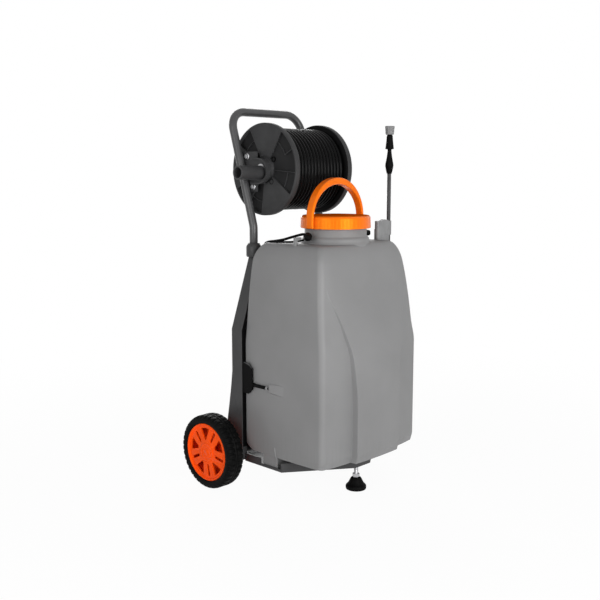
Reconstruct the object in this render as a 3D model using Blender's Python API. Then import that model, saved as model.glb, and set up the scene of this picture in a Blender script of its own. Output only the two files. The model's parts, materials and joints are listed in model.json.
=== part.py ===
# Wheeled sprayer cart: a moulded tank on a two-wheeled steel frame, with a hose reel on the
# handle, a spray lance at the tank's side and a battery pump box behind it.
# Metres, +Z up. The cart faces -Y. Positions are measured from the middle of the axle, on the ground.

from math import atan2, cos, hypot, pi, radians, sin, sqrt

import bmesh
import bpy
from mathutils import Vector

# Clearances
SEAT = 0.0003
RUN = 0.0005
CHANNEL_CLEAR = 0.011
TIE_CLEAR = 0.0065
LANCE_CLEAR = 0.001
REEL_CLEAR = 0.0072
BOLT_CLEAR = 0.0019
TIP_CLEAR = 0.012
RETAINER_CLEAR = 0.009
SLEEVE_CLEAR = 0.004

# Wheels and axle
WHEEL_RADIUS = 0.100
WHEEL_STANDS_OUT = 0.081
TYRE_WIDTH = 0.053
TYRE_SHOULDER = 0.008
TREAD_BLOCKS = 20
TREAD_NOTCH = 0.003
TREAD_RIB = 0.007
RIM_RADIUS = 0.078
RIM_WALL = 0.006
RIM_FACE_INSET = 0.0025
RIM_DISH = 0.0045
RIM_FACE_THICKNESS = 0.010
RIM_SPOKES = 5
RIM_TURN = 7
HUB_RADIUS = 0.016
HUB_CAP_RADIUS = 0.0187
HUB_CAP_HEIGHT = 0.0075
AXLE_RADIUS = 0.008
SPACER_RADIUS = 0.012

# Side channels and crossbars
CHANNEL_WALL = 0.0025
CHANNEL_DEPTH = 0.018
CHANNEL_FRONT = -0.060
CHANNEL_REAR = -0.022
CHANNEL_FOOT_REAR = 0.020
CHANNEL_FOOT_TOP = 0.316
CHANNEL_BEND = 0.430
CHANNEL_TOP_OVERHANG = 0.0046
CROSSBAR_RADIUS = 0.011
CROSSBAR_HEIGHT = 0.600
CROSSBAR_Y = -0.041
SHELF_TOP = 0.180
SHELF_DROP = 0.025
SHELF_WALL = 0.003
SHELF_REAR = -0.005

# Base tray and levelling foot
TRAY_UNDERSIDE = 0.070
TRAY_WALL = 0.003
TRAY_OVERHANG = 0.002
TRAY_REAR = 0.016
TRAY_CORNER = -0.201
TRAY_NOSE = -0.316
TRAY_NOSE_HALF = 0.030
TRAY_LIP_HEIGHT = 0.008
TRAY_FRONT_HEIGHT = 0.0245
TRAY_LIP_FROM = -0.125
FOOT_Y = -0.292
FOOT_PAD_RADIUS = 0.028
FOOT_PAD_HEIGHT = 0.033
FOOT_ROD_RADIUS = 0.0058
FOOT_ROD_DEPTH = 0.015
FOOT_HEX_RADIUS = 0.010
FOOT_HEX_HEIGHT = 0.010
FOOT_NUT_HEIGHT = 0.009
FOOT_ROD_STICKS_OUT = 0.002

# Handle
HANDLE_RADIUS = 0.011
HANDLE_HALF = 0.132
HANDLE_Y = -0.037
HANDLE_TOP_Y = 0.054
HANDLE_TOP = 1.018
HANDLE_KNEE = 0.700
HANDLE_BEND = 0.050
SOCKET_BOTTOM = 0.620
SOCKET_HEIGHT = 0.037
SOCKET_RADIUS = 0.0203
SOCKET_FLOOR = 0.003

# Hose reel
REEL_Y = -0.053
REEL_Z = 0.852
FLANGE_RADIUS = 0.122
FLANGE_RIM = 0.015
FLANGE_RECESSES = ((34, 124), (184, 244), (304, 334))
FLANGE_RECESS = 0.0035
FLANGE_DISH = 0.0045
FLANGE_HUB = 0.030
SHAFT_RADIUS = 0.0145
DRUM_RADIUS = 0.064
DRUM_WALL = 0.004
HOSE_RADIUS = 0.006
HOSE_GAP = 0.00048
HOSE_POINTS = 24
WINDING_RADIUS = 0.102
COUPLING_RADIUS = 0.0062
COUPLING_LENGTH = 0.030
BRACKET_WALL = 0.0040
BRACKET_HALF = 0.034
BRACKET_DROP = 0.0045
BRACKET_REAR = 0.020
EAR_FRONT = -0.039
EAR_HALF = 0.053
BRACKET_LIP = 0.0035
BRACKET_LIP_WIDTH = 0.009
BOLT_RADIUS = 0.0065
BOLT_HEAD = 0.0055
BOLT_SPACING = 0.080
BOLT_DROP = 0.006
SLEEVE_RADIUS = 0.021
STUB_RADIUS = 0.0185
STUB_BORE = 0.014
STUB_DROP = 0.0085
SLEEVE_REACH = 0.070
CRANK_LENGTH = 0.110
CRANK_HALF = 0.012
CRANK_WALL = 0.006
CRANK_PIN = 0.004
KNOB_RADIUS = 0.014
KNOB_LENGTH = 0.066
INLET_STANDS_OUT = 0.033
INLET_LENGTH = 0.022

# Tank
TANK_WALL = 0.004
TANK_FRONT = 0.351
TANK_HALF = 0.190
TANK_REAR = -0.0608
TANK_BELLY = 0.106
TANK_TOP = 0.661
TANK_FRONT_CORNER = 0.016
TANK_REAR_CORNER = 0.007
PANEL_HALF = 0.0845
PANEL_FLARE = 0.0785
PANEL_PROUD = 0.0175
PANEL_CROWN = 0.003
PANEL_STEP = 0.005
PANEL_STRAIGHT_TO = 0.250
PANEL_FADES_AT = 0.560
WELL_INSET = 0.004
WELL_FRONT = 0.181
WELL_REAR = -0.126
WELL_CORNER = 0.005
NECK_Y = -0.213
NECK_RADIUS = 0.082
NECK_BORE = 0.074
NECK_LEDGE_BORE = 0.068
NECK_LEDGE = 0.700
NECK_TOP = 0.722
NECK_RING_RADIUS = 0.088
NECK_RING_HEIGHT = 0.014
STRAINER_DEPTH = 0.095
STRAINER_WALL = 0.0025

# Lid and bail
LID_RADIUS = 0.093
LID_BOTTOM = 0.700
LID_HEIGHT = 0.032
LID_SKIRT_BORE = 0.0845
LID_INNER_TOP = 0.7262
GASKET_WALL = 0.007
BAIL_HALF = 0.1025
BAIL_LEG = 0.008
BAIL_DEPTH = 0.0235
BAIL_TOP = 0.831
BAIL_CROWN = 0.018
BAIL_SPRING = 0.725
BAIL_PIVOT = 0.712
BAIL_PIN = 0.004

# Tank holding pieces
RETAINER_RADIUS = 0.004
RETAINER_LEAN = 0.003
RETAINER_SPREAD = 0.012
TIP_RADIUS = 0.012
TIP_LIFT = 0.0075
TIP_Y = -0.218
TIP_LENGTH = 0.034
TIE_Z = 0.288
TIE_RADIUS = 0.003
TIE_FRONT = -0.158
TIE_NUT_RADIUS = 0.0062
TIE_NUT_LENGTH = 0.006
TIE_LUG_FRONT = -0.097
TIE_LUG_LOW = 0.262
TIE_LUG_HIGH = 0.345
TIE_LUG_WALL = 0.004
TIE_LUG_CHAMFER = 0.014
TIE_BOSS_LENGTH = 0.016
TIE_BOSS_HALF = 0.013
TIE_BOSS_STAND = 0.0125
HOOK_Y = -0.205
HOOK_REACH = 0.019
HOOK_HALF = 0.004
HOOK_HEIGHT = 0.019
HOOK_DROP = 0.0064

# Lance
LANCE_Y = -0.2265
LANCE_RADIUS = 0.0052
LANCE_REST = 0.1753
LANCE_TIP = 0.970
LANCE_SOCKET = 0.004
GUN_RADIUS = 0.016
GUN_STEM = 0.0095
GUN_STEM_LENGTH = 0.025
GUN_LENGTH = 0.170
NOZZLE_LENGTH = 0.112
NOZZLE_RADIUS = 0.011
NOZZLE_STUB = 0.0065
NOZZLE_STUB_LENGTH = 0.006
CAP_RADIUS = 0.013
CAP_LENGTH = 0.0237
HOLSTER_HEIGHT = 0.023
HOLSTER_RADIUS = 0.0145
HOLSTER_PLATE = 0.0027
HOLSTER_PLATE_HALF = 0.022
CLIP_OFFSET = 0.030
CLIP_POST_Y = -0.240
CLIP_POST_RADIUS = 0.0075
CLIP_TOP = 0.712
CLIP_ARM_HALF = 0.006
CLIP_RING_RADIUS = 0.0080
CLIP_WEB = 0.041
TRIGGER_STAND = 0.022
TRIGGER_BELOW_TOP = 0.027
TRIGGER_LENGTH = 0.103
TRIGGER_HALF = 0.006
TRIGGER_BOSS = 0.005
TRIGGER_PIN = 0.002
TRIGGER_CHEEK = 0.0025

# Power box
BOX_HALF = 0.115
BOX_FRONT = -0.0525
BOX_REAR = 0.040
BOX_HEIGHT = 0.220
BOX_CORNER = 0.014
BOX_WALL = 0.003
COVER_DEPTH = 0.012
BATTERY_LENGTH = 0.151
BATTERY_DEPTH = 0.065
BATTERY_HEIGHT = 0.094
PUMP_RADIUS = 0.030
PUMP_LENGTH = 0.155
PUMP_Z = 0.325
SWITCH_X = -0.050
SWITCH_Z = 0.345
SWITCH_HALF_WIDTH = 0.0070
SWITCH_HALF_HEIGHT = 0.0100
SWITCH_THROW = radians(9)
FLOW_X = 0.045
FLOW_RADIUS = 0.016
FLOW_SPINDLE = 0.004
OUTLET_X = 0.050
OUTLET_Z = 0.215
OUTLET_RADIUS = 0.011

# Places worked out from the sizes above
TANK_REACH = TANK_FRONT + PANEL_PROUD + PANEL_CROWN
CHANNEL_WEB = TANK_HALF + CHANNEL_CLEAR
CHANNEL_TOP_WEB = HANDLE_HALF + CHANNEL_TOP_OVERHANG
TIE_X = TANK_HALF + TIE_CLEAR
TRAY_HALF = TANK_HALF + TRAY_OVERHANG
WELL_HALF = TANK_HALF - WELL_INSET
WHEEL_OUTER_FACE = CHANNEL_WEB + WHEEL_STANDS_OUT
AXLE_Y = (TANK_REACH - WHEEL_RADIUS) / 2
WHEEL_X = WHEEL_OUTER_FACE - TYRE_WIDTH / 2
WHEEL_INNER_FACE = WHEEL_OUTER_FACE - TYRE_WIDTH
RIM_FACE = TYRE_WIDTH / 2 - RIM_FACE_INSET
HUB_SEAT = RIM_FACE - RIM_DISH - HUB_CAP_HEIGHT
CHANNEL_TOP = SOCKET_BOTTOM - SEAT
CHANNEL_FOOT = TRAY_UNDERSIDE + TRAY_WALL + SEAT
TRAY_FLOOR = TRAY_UNDERSIDE + TRAY_WALL
TRAY_FRONT_TOP = TRAY_UNDERSIDE + TRAY_FRONT_HEIGHT
TRAY_SIDE_TOP = WHEEL_RADIUS - AXLE_RADIUS - RUN
TRAY_REAR_HALF = CHANNEL_WEB - CHANNEL_DEPTH - SEAT
TRAY_NOTCH = CHANNEL_FRONT - 2 * SEAT
TANK_BOTTOM = TRAY_FLOOR + SEAT
HANDLE_FOOT = SOCKET_BOTTOM + SOCKET_FLOOR + SEAT
SLEEVE_BORE = SHAFT_RADIUS + RUN
BRACKET_OUTER = HANDLE_HALF - HANDLE_RADIUS - SEAT
FLANGE_OUTER = BRACKET_OUTER - BRACKET_WALL - REEL_CLEAR
FLANGE_INNER = FLANGE_OUTER - FLANGE_RIM
FLANGE_FACE = FLANGE_OUTER - FLANGE_DISH
HOSE_PITCH = 2 * HOSE_RADIUS + HOSE_GAP
HOSE_TURNS = int((FLANGE_INNER - SEAT - HOSE_RADIUS) / (0.5 * HOSE_PITCH))
SLEEVE_END = HANDLE_HALF + SLEEVE_REACH
INLET_X = HANDLE_HALF + INLET_STANDS_OUT
CRANK_X = SLEEVE_END + SLEEVE_CLEAR
TIP_X = NECK_RING_RADIUS + TIP_CLEAR + TIP_RADIUS
HOOK_X = TIP_X + TIP_RADIUS + RUN + HOOK_REACH
RETAINER_START = HANDLE_HALF - SOCKET_RADIUS - RETAINER_CLEAR - RETAINER_RADIUS
LANCE_X = TANK_HALF + LANCE_CLEAR + GUN_RADIUS
CLIP_POST_X = TIP_X + CLIP_OFFSET
LANCE_GUN_TOP = LANCE_REST + GUN_LENGTH
NOZZLE_FOOT = LANCE_TIP - CAP_LENGTH - NOZZLE_LENGTH + NOZZLE_STUB_LENGTH
BOX_BOTTOM = SHELF_TOP + SEAT
BOX_TOP = BOX_BOTTOM + BOX_HEIGHT
COVER_FRONT = BOX_REAR + SEAT
COVER_FACE = COVER_FRONT + COVER_DEPTH

FINISHES = {
    "frame_grey": ((0.045, 0.046, 0.048), 0.45, 0.3),
    "tube_grey": ((0.085, 0.086, 0.090), 0.35, 0.6),
    "reel_grey": ((0.050, 0.051, 0.053), 0.50, 0.0),
    "tank_grey": ((0.210, 0.212, 0.215), 0.45, 0.0),
    "light_grey": ((0.330, 0.335, 0.340), 0.50, 0.0),
    "orange": ((0.900, 0.140, 0.012), 0.30, 0.0),
    "black_plastic": ((0.015, 0.015, 0.016), 0.45, 0.0),
    "rubber": ((0.012, 0.012, 0.012), 0.75, 0.0),
    "steel": ((0.550, 0.550, 0.560), 0.30, 1.0),
    "brass": ((0.700, 0.480, 0.180), 0.35, 1.0),
}


# Modelling helpers

def clear_scene():
    for old in list(bpy.data.objects):
        bpy.data.objects.remove(old, do_unlink=True)


def finish(name):
    material = bpy.data.materials.get(name)
    if material:
        return material
    colour, roughness, metallic = FINISHES[name]
    material = bpy.data.materials.new(name)
    material.use_nodes = True
    shader = material.node_tree.nodes["Principled BSDF"]
    shader.inputs["Base Color"].default_value = (*colour, 1.0)
    shader.inputs["Roughness"].default_value = roughness
    shader.inputs["Metallic"].default_value = metallic
    return material


def group(name, at, parent=None):
    empty = bpy.data.objects.new(name, None)
    bpy.context.collection.objects.link(empty)
    empty.location = Vector(at)
    empty.parent = parent
    return empty


def add(name, data, material, parent, at=(0, 0, 0)):
    piece = bpy.data.objects.new(name, data)
    bpy.context.collection.objects.link(piece)
    piece.parent = parent
    piece.location = Vector(at)
    data.materials.append(finish(material))
    return piece


def mesh_from(bm, name):
    bmesh.ops.recalc_face_normals(bm, faces=bm.faces)
    mesh = bpy.data.meshes.new(name)
    bm.to_mesh(mesh)
    bm.free()
    mesh.shade_smooth()
    mesh.set_sharp_from_angle(angle=radians(32))
    return mesh


def along(axis, a, b, h):
    """Place a point of a flat outline (a, b) at height h along an axis."""
    return {"X": (h, a, b), "Y": (a, h, b), "Z": (a, b, h)}[axis]


def bridge(bm, low, high):
    count = max(len(low), len(high))
    for k in range(count):
        below = [low[k % len(low)], low[(k + 1) % len(low)]]
        above = [high[(k + 1) % len(high)], high[k % len(high)]]
        corners = list(dict.fromkeys(below + above))
        if len(corners) > 2:
            bm.faces.new(corners)


def add_turned(bm, profile, steps, axis="Z", at=(0, 0, 0), radius_at=None):
    """Turn (radius, height) points round an axis. Points on the axis close the ends."""
    rings = []
    for radius, height in profile:
        ring = []
        for k in range(steps if radius else 1):
            angle = 2 * pi * k / steps
            reach = radius_at(radius, height, k) if radius_at else radius
            place = Vector(along(axis, reach * cos(angle), reach * sin(angle), height)) + Vector(at)
            ring.append(bm.verts.new(place))
        rings.append(ring)
    closing = [rings[0]] if profile[0][0] and profile[-1][0] else []
    for low, high in zip(rings, rings[1:] + closing):
        bridge(bm, low, high)


def turned(name, profile, steps, axis="Z", radius_at=None):
    bm = bmesh.new()
    add_turned(bm, profile, steps, axis, radius_at=radius_at)
    return mesh_from(bm, name)


def add_loft(bm, loops):
    """Skin a stack of loops of equal length and cap both ends."""
    rings = [[bm.verts.new(point) for point in loop] for loop in loops]
    for low, high in zip(rings, rings[1:]):
        bridge(bm, low, high)
    bm.faces.new(rings[0])
    bm.faces.new(rings[-1])


def loft(name, loops):
    bm = bmesh.new()
    add_loft(bm, loops)
    return mesh_from(bm, name)


def add_prism(bm, outline, low, high, axis="Z"):
    add_loft(bm, [[along(axis, a, b, h) for a, b in outline] for h in (low, high)])


def prism(name, outline, low, high, axis="Z"):
    bm = bmesh.new()
    add_prism(bm, outline, low, high, axis)
    return mesh_from(bm, name)


def box_outline(a0, a1, b0, b1):
    return [(a0, b0), (a1, b0), (a1, b1), (a0, b1)]


def arc(a, b, radius, start, end, steps):
    turns = [radians(start + (end - start) * k / steps) for k in range(steps + 1)]
    return [(a + radius * cos(t), b + radius * sin(t)) for t in turns]


def rounded_box(a0, a1, b0, b1, radius, steps=3):
    corners = [(a1 - radius, b0 + radius), (a1 - radius, b1 - radius), (a0 + radius, b1 - radius),
               (a0 + radius, b0 + radius)]
    outline = []
    for k, (a, b) in enumerate(corners):
        outline += arc(a, b, radius, 90 * k - 90, 90 * k, steps)
    return outline


def inset(outline, depth):
    """Move every edge of an anticlockwise outline inwards by a depth."""
    moved = []
    for k, corner in enumerate(outline):
        before = Vector(corner) - Vector(outline[k - 1])
        after = Vector(outline[(k + 1) % len(outline)]) - Vector(corner)
        normal_in = Vector((-before.y, before.x)).normalized()
        normal_out = Vector((-after.y, after.x)).normalized()
        shift = (normal_in + normal_out) * (depth / (1 + normal_in.dot(normal_out)))
        moved.append(tuple(Vector(corner) + shift))
    return moved


def mirrored(points):
    return [(-x, y, z) for x, y, z in points]


def smooth_path(points, steps):
    """Points along a smooth curve through the given ones."""
    knots = [Vector(p) for p in points]
    knots = [2 * knots[0] - knots[1]] + knots + [2 * knots[-1] - knots[-2]]
    path = []
    for a, b, c, d in zip(knots, knots[1:], knots[2:], knots[3:]):
        for k in range(steps):
            t = k / steps
            path.append(0.5 * (2 * b + (c - a) * t + (2 * a - 5 * b + 4 * c - d) * t ** 2
                               + (3 * b - a - 3 * c + d) * t ** 3))
    return path + [knots[-2]]


def filleted_path(points, radius, steps):
    """Straight runs joined by arcs of one radius, as a bent tube has."""
    corners = [Vector(p) for p in points]
    path = [corners[0]]
    for before, corner, after in zip(corners, corners[1:], corners[2:]):
        into = (corner - before).normalized()
        out = (after - corner).normalized()
        half = into.angle(out) / 2
        setback = radius * sin(half) / cos(half)
        centre = corner + (out - into).normalized() * (radius / cos(half))
        start = (corner - into * setback - centre).normalized()
        end = (corner + out * setback - centre).normalized()
        for k in range(steps + 1):
            path.append(centre + start.slerp(end, k / steps) * radius)
    return path + [corners[-1]]


def tube(name, paths, radius, resolution):
    """Round bar along one or more paths, with flat ends."""
    curve = bpy.data.curves.new(name, "CURVE")
    curve.dimensions = "3D"
    curve.bevel_depth = radius
    curve.bevel_resolution = resolution
    curve.use_fill_caps = True
    for path in paths:
        spline = curve.splines.new("POLY")
        spline.points.add(len(path) - 1)
        for point, place in zip(spline.points, path):
            point.co = (*place, 1.0)
    return curve


def boolean(piece, tool_mesh, operation, at=(0, 0, 0)):
    tool = bpy.data.objects.new(piece.name + "." + operation.lower(), tool_mesh)
    bpy.context.collection.objects.link(tool)
    tool.parent = piece.parent
    tool.location = Vector(at)
    tool.rotation_euler = piece.rotation_euler
    tool.hide_render = True
    tool.display_type = "WIRE"
    modifier = piece.modifiers.new(operation.lower(), "BOOLEAN")
    modifier.operation = operation
    modifier.solver = "EXACT"
    modifier.object = tool


def cut(piece, tool_mesh, at=(0, 0, 0)):
    boolean(piece, tool_mesh, "DIFFERENCE", at)


def fuse(piece, tool_mesh, at=(0, 0, 0)):
    boolean(piece, tool_mesh, "UNION", at)


def rod(name, radius, low, high, axis="Z", steps=16, at=(0, 0, 0)):
    bm = bmesh.new()
    add_turned(bm, [(0, low), (radius, low), (radius, high), (0, high)], steps, axis, at)
    return mesh_from(bm, name)


def interpolated(z, table):
    """Smooth curve through (height, value) rows that never overshoots them."""
    slopes = [(b[1] - a[1]) / (b[0] - a[0]) for a, b in zip(table, table[1:])]
    tangents = [slopes[0]]
    for left, right in zip(slopes, slopes[1:]):
        tangents.append(2 * left * right / (left + right) if left * right > 0 else 0.0)
    tangents.append(slopes[-1])
    for k, (a, b) in enumerate(zip(table, table[1:])):
        if z <= b[0]:
            break
    span = b[0] - a[0]
    t = (z - a[0]) / span
    return (a[1] * (1 + 2 * t) * (1 - t) ** 2 + tangents[k] * span * t * (1 - t) ** 2
            + b[1] * t * t * (3 - 2 * t) + tangents[k + 1] * span * t * t * (t - 1))


# Wheels

def rim_windows():
    """Five tapered windows with five narrow slots between them."""
    bm = bmesh.new()
    near = HUB_RADIUS + 0.018
    far = RIM_RADIUS - RIM_WALL - 0.007
    low = RIM_FACE - RIM_DISH - RIM_FACE_THICKNESS - 0.006
    high = RIM_FACE + 0.002
    for k in range(RIM_SPOKES):
        middle = 90 + RIM_TURN + 360 * k / RIM_SPOKES
        outer = arc(0, 0, far, middle - 15, middle + 15, 3)
        inner = arc(0, 0, near, middle + 6, middle - 6, 1)
        add_prism(bm, outer + inner, low, high, "X")
        turn = radians(middle + 180 / RIM_SPOKES)
        slot = [(near, -0.0035), (far, -0.0042), (far, 0.0042), (near, 0.0035)]
        slot = [(r * cos(turn) - w * sin(turn), r * sin(turn) + w * cos(turn)) for r, w in slot]
        add_prism(bm, slot, low, high, "X")
    return mesh_from(bm, "rim_windows")


def build_wheels(root):
    half = TYRE_WIDTH / 2
    soft = TYRE_SHOULDER
    bead = RIM_RADIUS + SEAT
    side = [(bead, half - 0.004), (WHEEL_RADIUS - soft, half), (WHEEL_RADIUS - 0.0023, half - 0.0023),
            (WHEEL_RADIUS, half - soft)]
    tread = [(WHEEL_RADIUS, TREAD_RIB)]
    tyre_profile = side + tread + [(r, -h) for r, h in reversed(side + tread)]

    def notched(radius, height, step):
        in_groove = step % 2 == 1 and radius > WHEEL_RADIUS - soft and abs(height) > TREAD_RIB
        return radius - TREAD_NOTCH if in_groove else radius

    face = RIM_FACE - RIM_DISH
    back = face - RIM_FACE_THICKNESS
    barrel = RIM_RADIUS - RIM_WALL
    cap_bore = HUB_CAP_RADIUS + 2 * RUN
    bore = AXLE_RADIUS + SEAT
    rim_profile = [
        (RIM_RADIUS, RIM_FACE - 0.002), (RIM_RADIUS - 0.002, RIM_FACE), (barrel, RIM_FACE),
        (barrel - 0.003, face + 0.002), (cap_bore, face),
        (cap_bore, HUB_SEAT), (bore, HUB_SEAT), (bore, -half), (HUB_RADIUS, -half),
        (HUB_RADIUS, back), (barrel, back), (barrel, 0.004 - half), (RIM_RADIUS, 0.004 - half)]
    cap_low = HUB_SEAT + SEAT
    cap_profile = [(0, cap_low), (HUB_CAP_RADIUS, cap_low), (HUB_CAP_RADIUS, face - 0.001),
                   (HUB_CAP_RADIUS - 0.003, face + 0.001), (0, face + 0.0015)]
    for side_name, sign in (("left", -1), ("right", 1)):
        hub = group("wheel_%s_axis" % side_name, (sign * WHEEL_X, 0, WHEEL_RADIUS), root)
        hub.rotation_euler.z = 0 if sign > 0 else pi
        tyre = turned("tyre", tyre_profile, 2 * TREAD_BLOCKS, "X", notched)
        add("tyre_" + side_name, tyre, "rubber", hub)
        rim = add("rim_" + side_name, turned("rim", rim_profile, 30, "X"), "orange", hub)
        cut(rim, rim_windows())
        add("hub_cap_" + side_name, turned("hub_cap", cap_profile, 20, "X"), "orange", hub)


def build_axle(root):
    end = WHEEL_X + HUB_SEAT
    spacer_out = WHEEL_INNER_FACE - SEAT
    spacer_in = CHANNEL_WEB + SEAT
    right = [(SPACER_RADIUS, spacer_in), (SPACER_RADIUS, spacer_out), (AXLE_RADIUS, spacer_out),
             (AXLE_RADIUS, end - 0.001), (AXLE_RADIUS - 0.001, end), (0, end)]
    middle = [(AXLE_RADIUS, -spacer_in), (AXLE_RADIUS, spacer_in)]
    profile = [(r, -h) for r, h in reversed(right)] + middle + right
    add("axle", turned("axle", profile, 12, "X"), "steel", root, (0, 0, WHEEL_RADIUS))


# Frame

def channel_web(z):
    """Distance of the channel's outer face from the centre plane at a height."""
    rise = max(0.0, (z - CHANNEL_BEND) / (CHANNEL_TOP - CHANNEL_BEND))
    return CHANNEL_WEB + (CHANNEL_TOP_WEB - CHANNEL_WEB) * rise


def channel_rear(z):
    """Rear edge of the channel, which sweeps back to the axle."""
    drop = max(0.0, (CHANNEL_FOOT_TOP - z) / (CHANNEL_FOOT_TOP - CHANNEL_FOOT))
    return CHANNEL_REAR + (CHANNEL_FOOT_REAR - CHANNEL_REAR) * drop ** 1.2


def build_channels(root):
    foot_levels = [CHANNEL_FOOT + (CHANNEL_FOOT_TOP - CHANNEL_FOOT) * k / 5 for k in range(6)]
    for side_name, sign in (("left", -1), ("right", 1)):
        loops = []
        for z in foot_levels + [CHANNEL_BEND, CHANNEL_TOP]:
            web = channel_web(z)
            rear = channel_rear(z)
            lip = web - CHANNEL_DEPTH
            inner = web - CHANNEL_WALL
            section = [(web, CHANNEL_FRONT), (web, rear), (lip, rear), (lip, rear - CHANNEL_WALL),
                       (inner, rear - CHANNEL_WALL), (inner, CHANNEL_FRONT + CHANNEL_WALL),
                       (lip, CHANNEL_FRONT + CHANNEL_WALL), (lip, CHANNEL_FRONT)]
            loops.append([(sign * x, y, z) for x, y in section])
        channel = add("side_channel_" + side_name, loft("channel", loops), "frame_grey", root)
        middle = sign * CHANNEL_WEB
        fuse(channel, tie_lug(sign))
        hole = rod("axle_hole", AXLE_RADIUS + SEAT, middle - 0.02, middle + 0.02, "X")
        cut(channel, hole, (0, 0, WHEEL_RADIUS))


def build_crossbars(root):
    upper_half = channel_web(CROSSBAR_HEIGHT + CROSSBAR_RADIUS) - CHANNEL_WALL - SEAT
    bar = rod("upper_crossbar", CROSSBAR_RADIUS, -upper_half, upper_half, "X", 14)
    add("upper_crossbar", bar, "frame_grey", root, (0, CROSSBAR_Y, CROSSBAR_HEIGHT))
    front = CHANNEL_FRONT + CHANNEL_WALL + SEAT
    low = SHELF_TOP - SHELF_DROP
    shelf = [(front, low), (front + SHELF_WALL, low), (front + SHELF_WALL, SHELF_TOP - SHELF_WALL),
             (SHELF_REAR - SHELF_WALL, SHELF_TOP - SHELF_WALL), (SHELF_REAR - SHELF_WALL, low),
             (SHELF_REAR, low), (SHELF_REAR, SHELF_TOP), (front, SHELF_TOP)]
    shelf_half = CHANNEL_WEB - CHANNEL_WALL - SEAT
    add("lower_crossbar", prism("shelf", shelf, -shelf_half, shelf_half, "X"), "frame_grey", root)


def build_tray(root):
    right = [(TRAY_NOSE_HALF, TRAY_NOSE), (TRAY_HALF, TRAY_CORNER), (TRAY_HALF, TRAY_NOTCH),
             (TRAY_REAR_HALF, TRAY_NOTCH), (TRAY_REAR_HALF, TRAY_REAR)]
    outline = right + [(-x, y) for x, y in reversed(right)]
    tray = add("base_tray", prism("tray", outline, TRAY_UNDERSIDE, TRAY_FRONT_TOP), "frame_grey", root)
    above = TRAY_FRONT_TOP + 0.02
    cut(tray, prism("pocket", inset(outline, TRAY_WALL), TRAY_FLOOR, above))
    wide = TRAY_HALF + 0.02
    side = box_outline(-wide, wide, TRAY_LIP_FROM, TRAY_REAR - TRAY_WALL)
    cut(tray, prism("side_height", side, TRAY_SIDE_TOP, above))
    lip = box_outline(-wide, wide, TRAY_CORNER + TRAY_WALL, TRAY_LIP_FROM + TRAY_WALL)
    cut(tray, prism("lip_height", lip, TRAY_UNDERSIDE + TRAY_LIP_HEIGHT, above))
    hole = rod("foot_hole", FOOT_ROD_RADIUS + RUN, TRAY_UNDERSIDE - 0.02, TRAY_FLOOR + 0.02, steps=12)
    cut(tray, hole, (0, FOOT_Y, 0))


def build_foot(root):
    foot = group("foot_axis", (0, FOOT_Y, 0), root)
    bore = FOOT_ROD_RADIUS + RUN
    well = FOOT_PAD_HEIGHT - FOOT_ROD_DEPTH
    wide = FOOT_PAD_RADIUS
    high = FOOT_PAD_HEIGHT
    pad = [(0, 0), (wide - 0.001, 0), (wide, 0.21 * high), (wide - 0.004, 0.39 * high),
           (0.54 * wide, 0.88 * high), (0.36 * wide, high), (bore, high), (bore, well), (0, well)]
    add("foot_pad", turned("foot_pad", pad, 20), "rubber", foot)
    nut_low = TRAY_FLOOR + SEAT
    top = nut_low + FOOT_NUT_HEIGHT + FOOT_ROD_STICKS_OUT
    threaded = add("foot_rod", rod("foot_rod", FOOT_ROD_RADIUS, well + SEAT, top, steps=12), "steel", foot)
    hex_low = FOOT_PAD_HEIGHT + SEAT
    fuse(threaded, rod("foot_hex", FOOT_HEX_RADIUS, hex_low, hex_low + FOOT_HEX_HEIGHT, steps=6))
    place = (0, FOOT_Y, 0)
    nut = rod("foot_nut", FOOT_HEX_RADIUS, nut_low, nut_low + FOOT_NUT_HEIGHT, steps=6)
    nut = add("foot_nut", nut, "steel", root, place)
    cut(nut, rod("foot_nut_bore", bore, nut_low - 0.01, nut_low + FOOT_NUT_HEIGHT + 0.01, steps=12), place)


def handle_y(z):
    """Middle of the handle's leaning upright at a height."""
    rise = (z - HANDLE_KNEE) / (HANDLE_TOP - HANDLE_RADIUS - HANDLE_KNEE)
    return HANDLE_Y + (HANDLE_TOP_Y - HANDLE_Y) * rise


def build_handle(root):
    knee = (HANDLE_HALF, HANDLE_Y, HANDLE_KNEE)
    top = HANDLE_TOP - HANDLE_RADIUS
    right = [(HANDLE_HALF, HANDLE_Y, HANDLE_FOOT), knee, (HANDLE_HALF, HANDLE_TOP_Y, top)]
    path = filleted_path(mirrored(right) + right[::-1], HANDLE_BEND, 5)
    add("handle_tube", tube("handle_tube", [path], HANDLE_RADIUS, 4), "tube_grey", root)
    bore = HANDLE_RADIUS + SEAT
    high = SOCKET_HEIGHT
    socket = [(0, 0), (SOCKET_RADIUS - 0.002, 0), (SOCKET_RADIUS, 0.003), (SOCKET_RADIUS, 0.75 * high),
              (bore + 0.003, high), (bore, high), (bore, SOCKET_FLOOR), (0, SOCKET_FLOOR)]
    for side_name, sign in (("left", -1), ("right", 1)):
        place = (sign * HANDLE_HALF, HANDLE_Y, SOCKET_BOTTOM)
        add("handle_socket_" + side_name, turned("socket", socket, 16), "frame_grey", root, place)


# Hose reel

def bracket_outline():
    """Rounded arm of a bracket, running back past the handle's upright."""
    drop = BRACKET_DROP
    rear = BRACKET_REAR - REEL_Y
    front = arc(0, -drop, BRACKET_HALF, 90, 270, 10)
    return front + [(rear, -BRACKET_HALF - drop), (rear, BRACKET_HALF - drop)]


def eared_outline():
    """The arm with the two ears that are bolted to the upright."""
    arm = bracket_outline()
    front = EAR_FRONT - REEL_Y
    rear = BRACKET_REAR - REEL_Y
    low = -EAR_HALF - BOLT_DROP
    high = EAR_HALF - BOLT_DROP
    below = [(front, arm[-2][1]), (front, low), (rear, low)]
    above = [(rear, high), (front, high), (front, arm[-1][1])]
    return arm[:-2] + below + above


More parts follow.
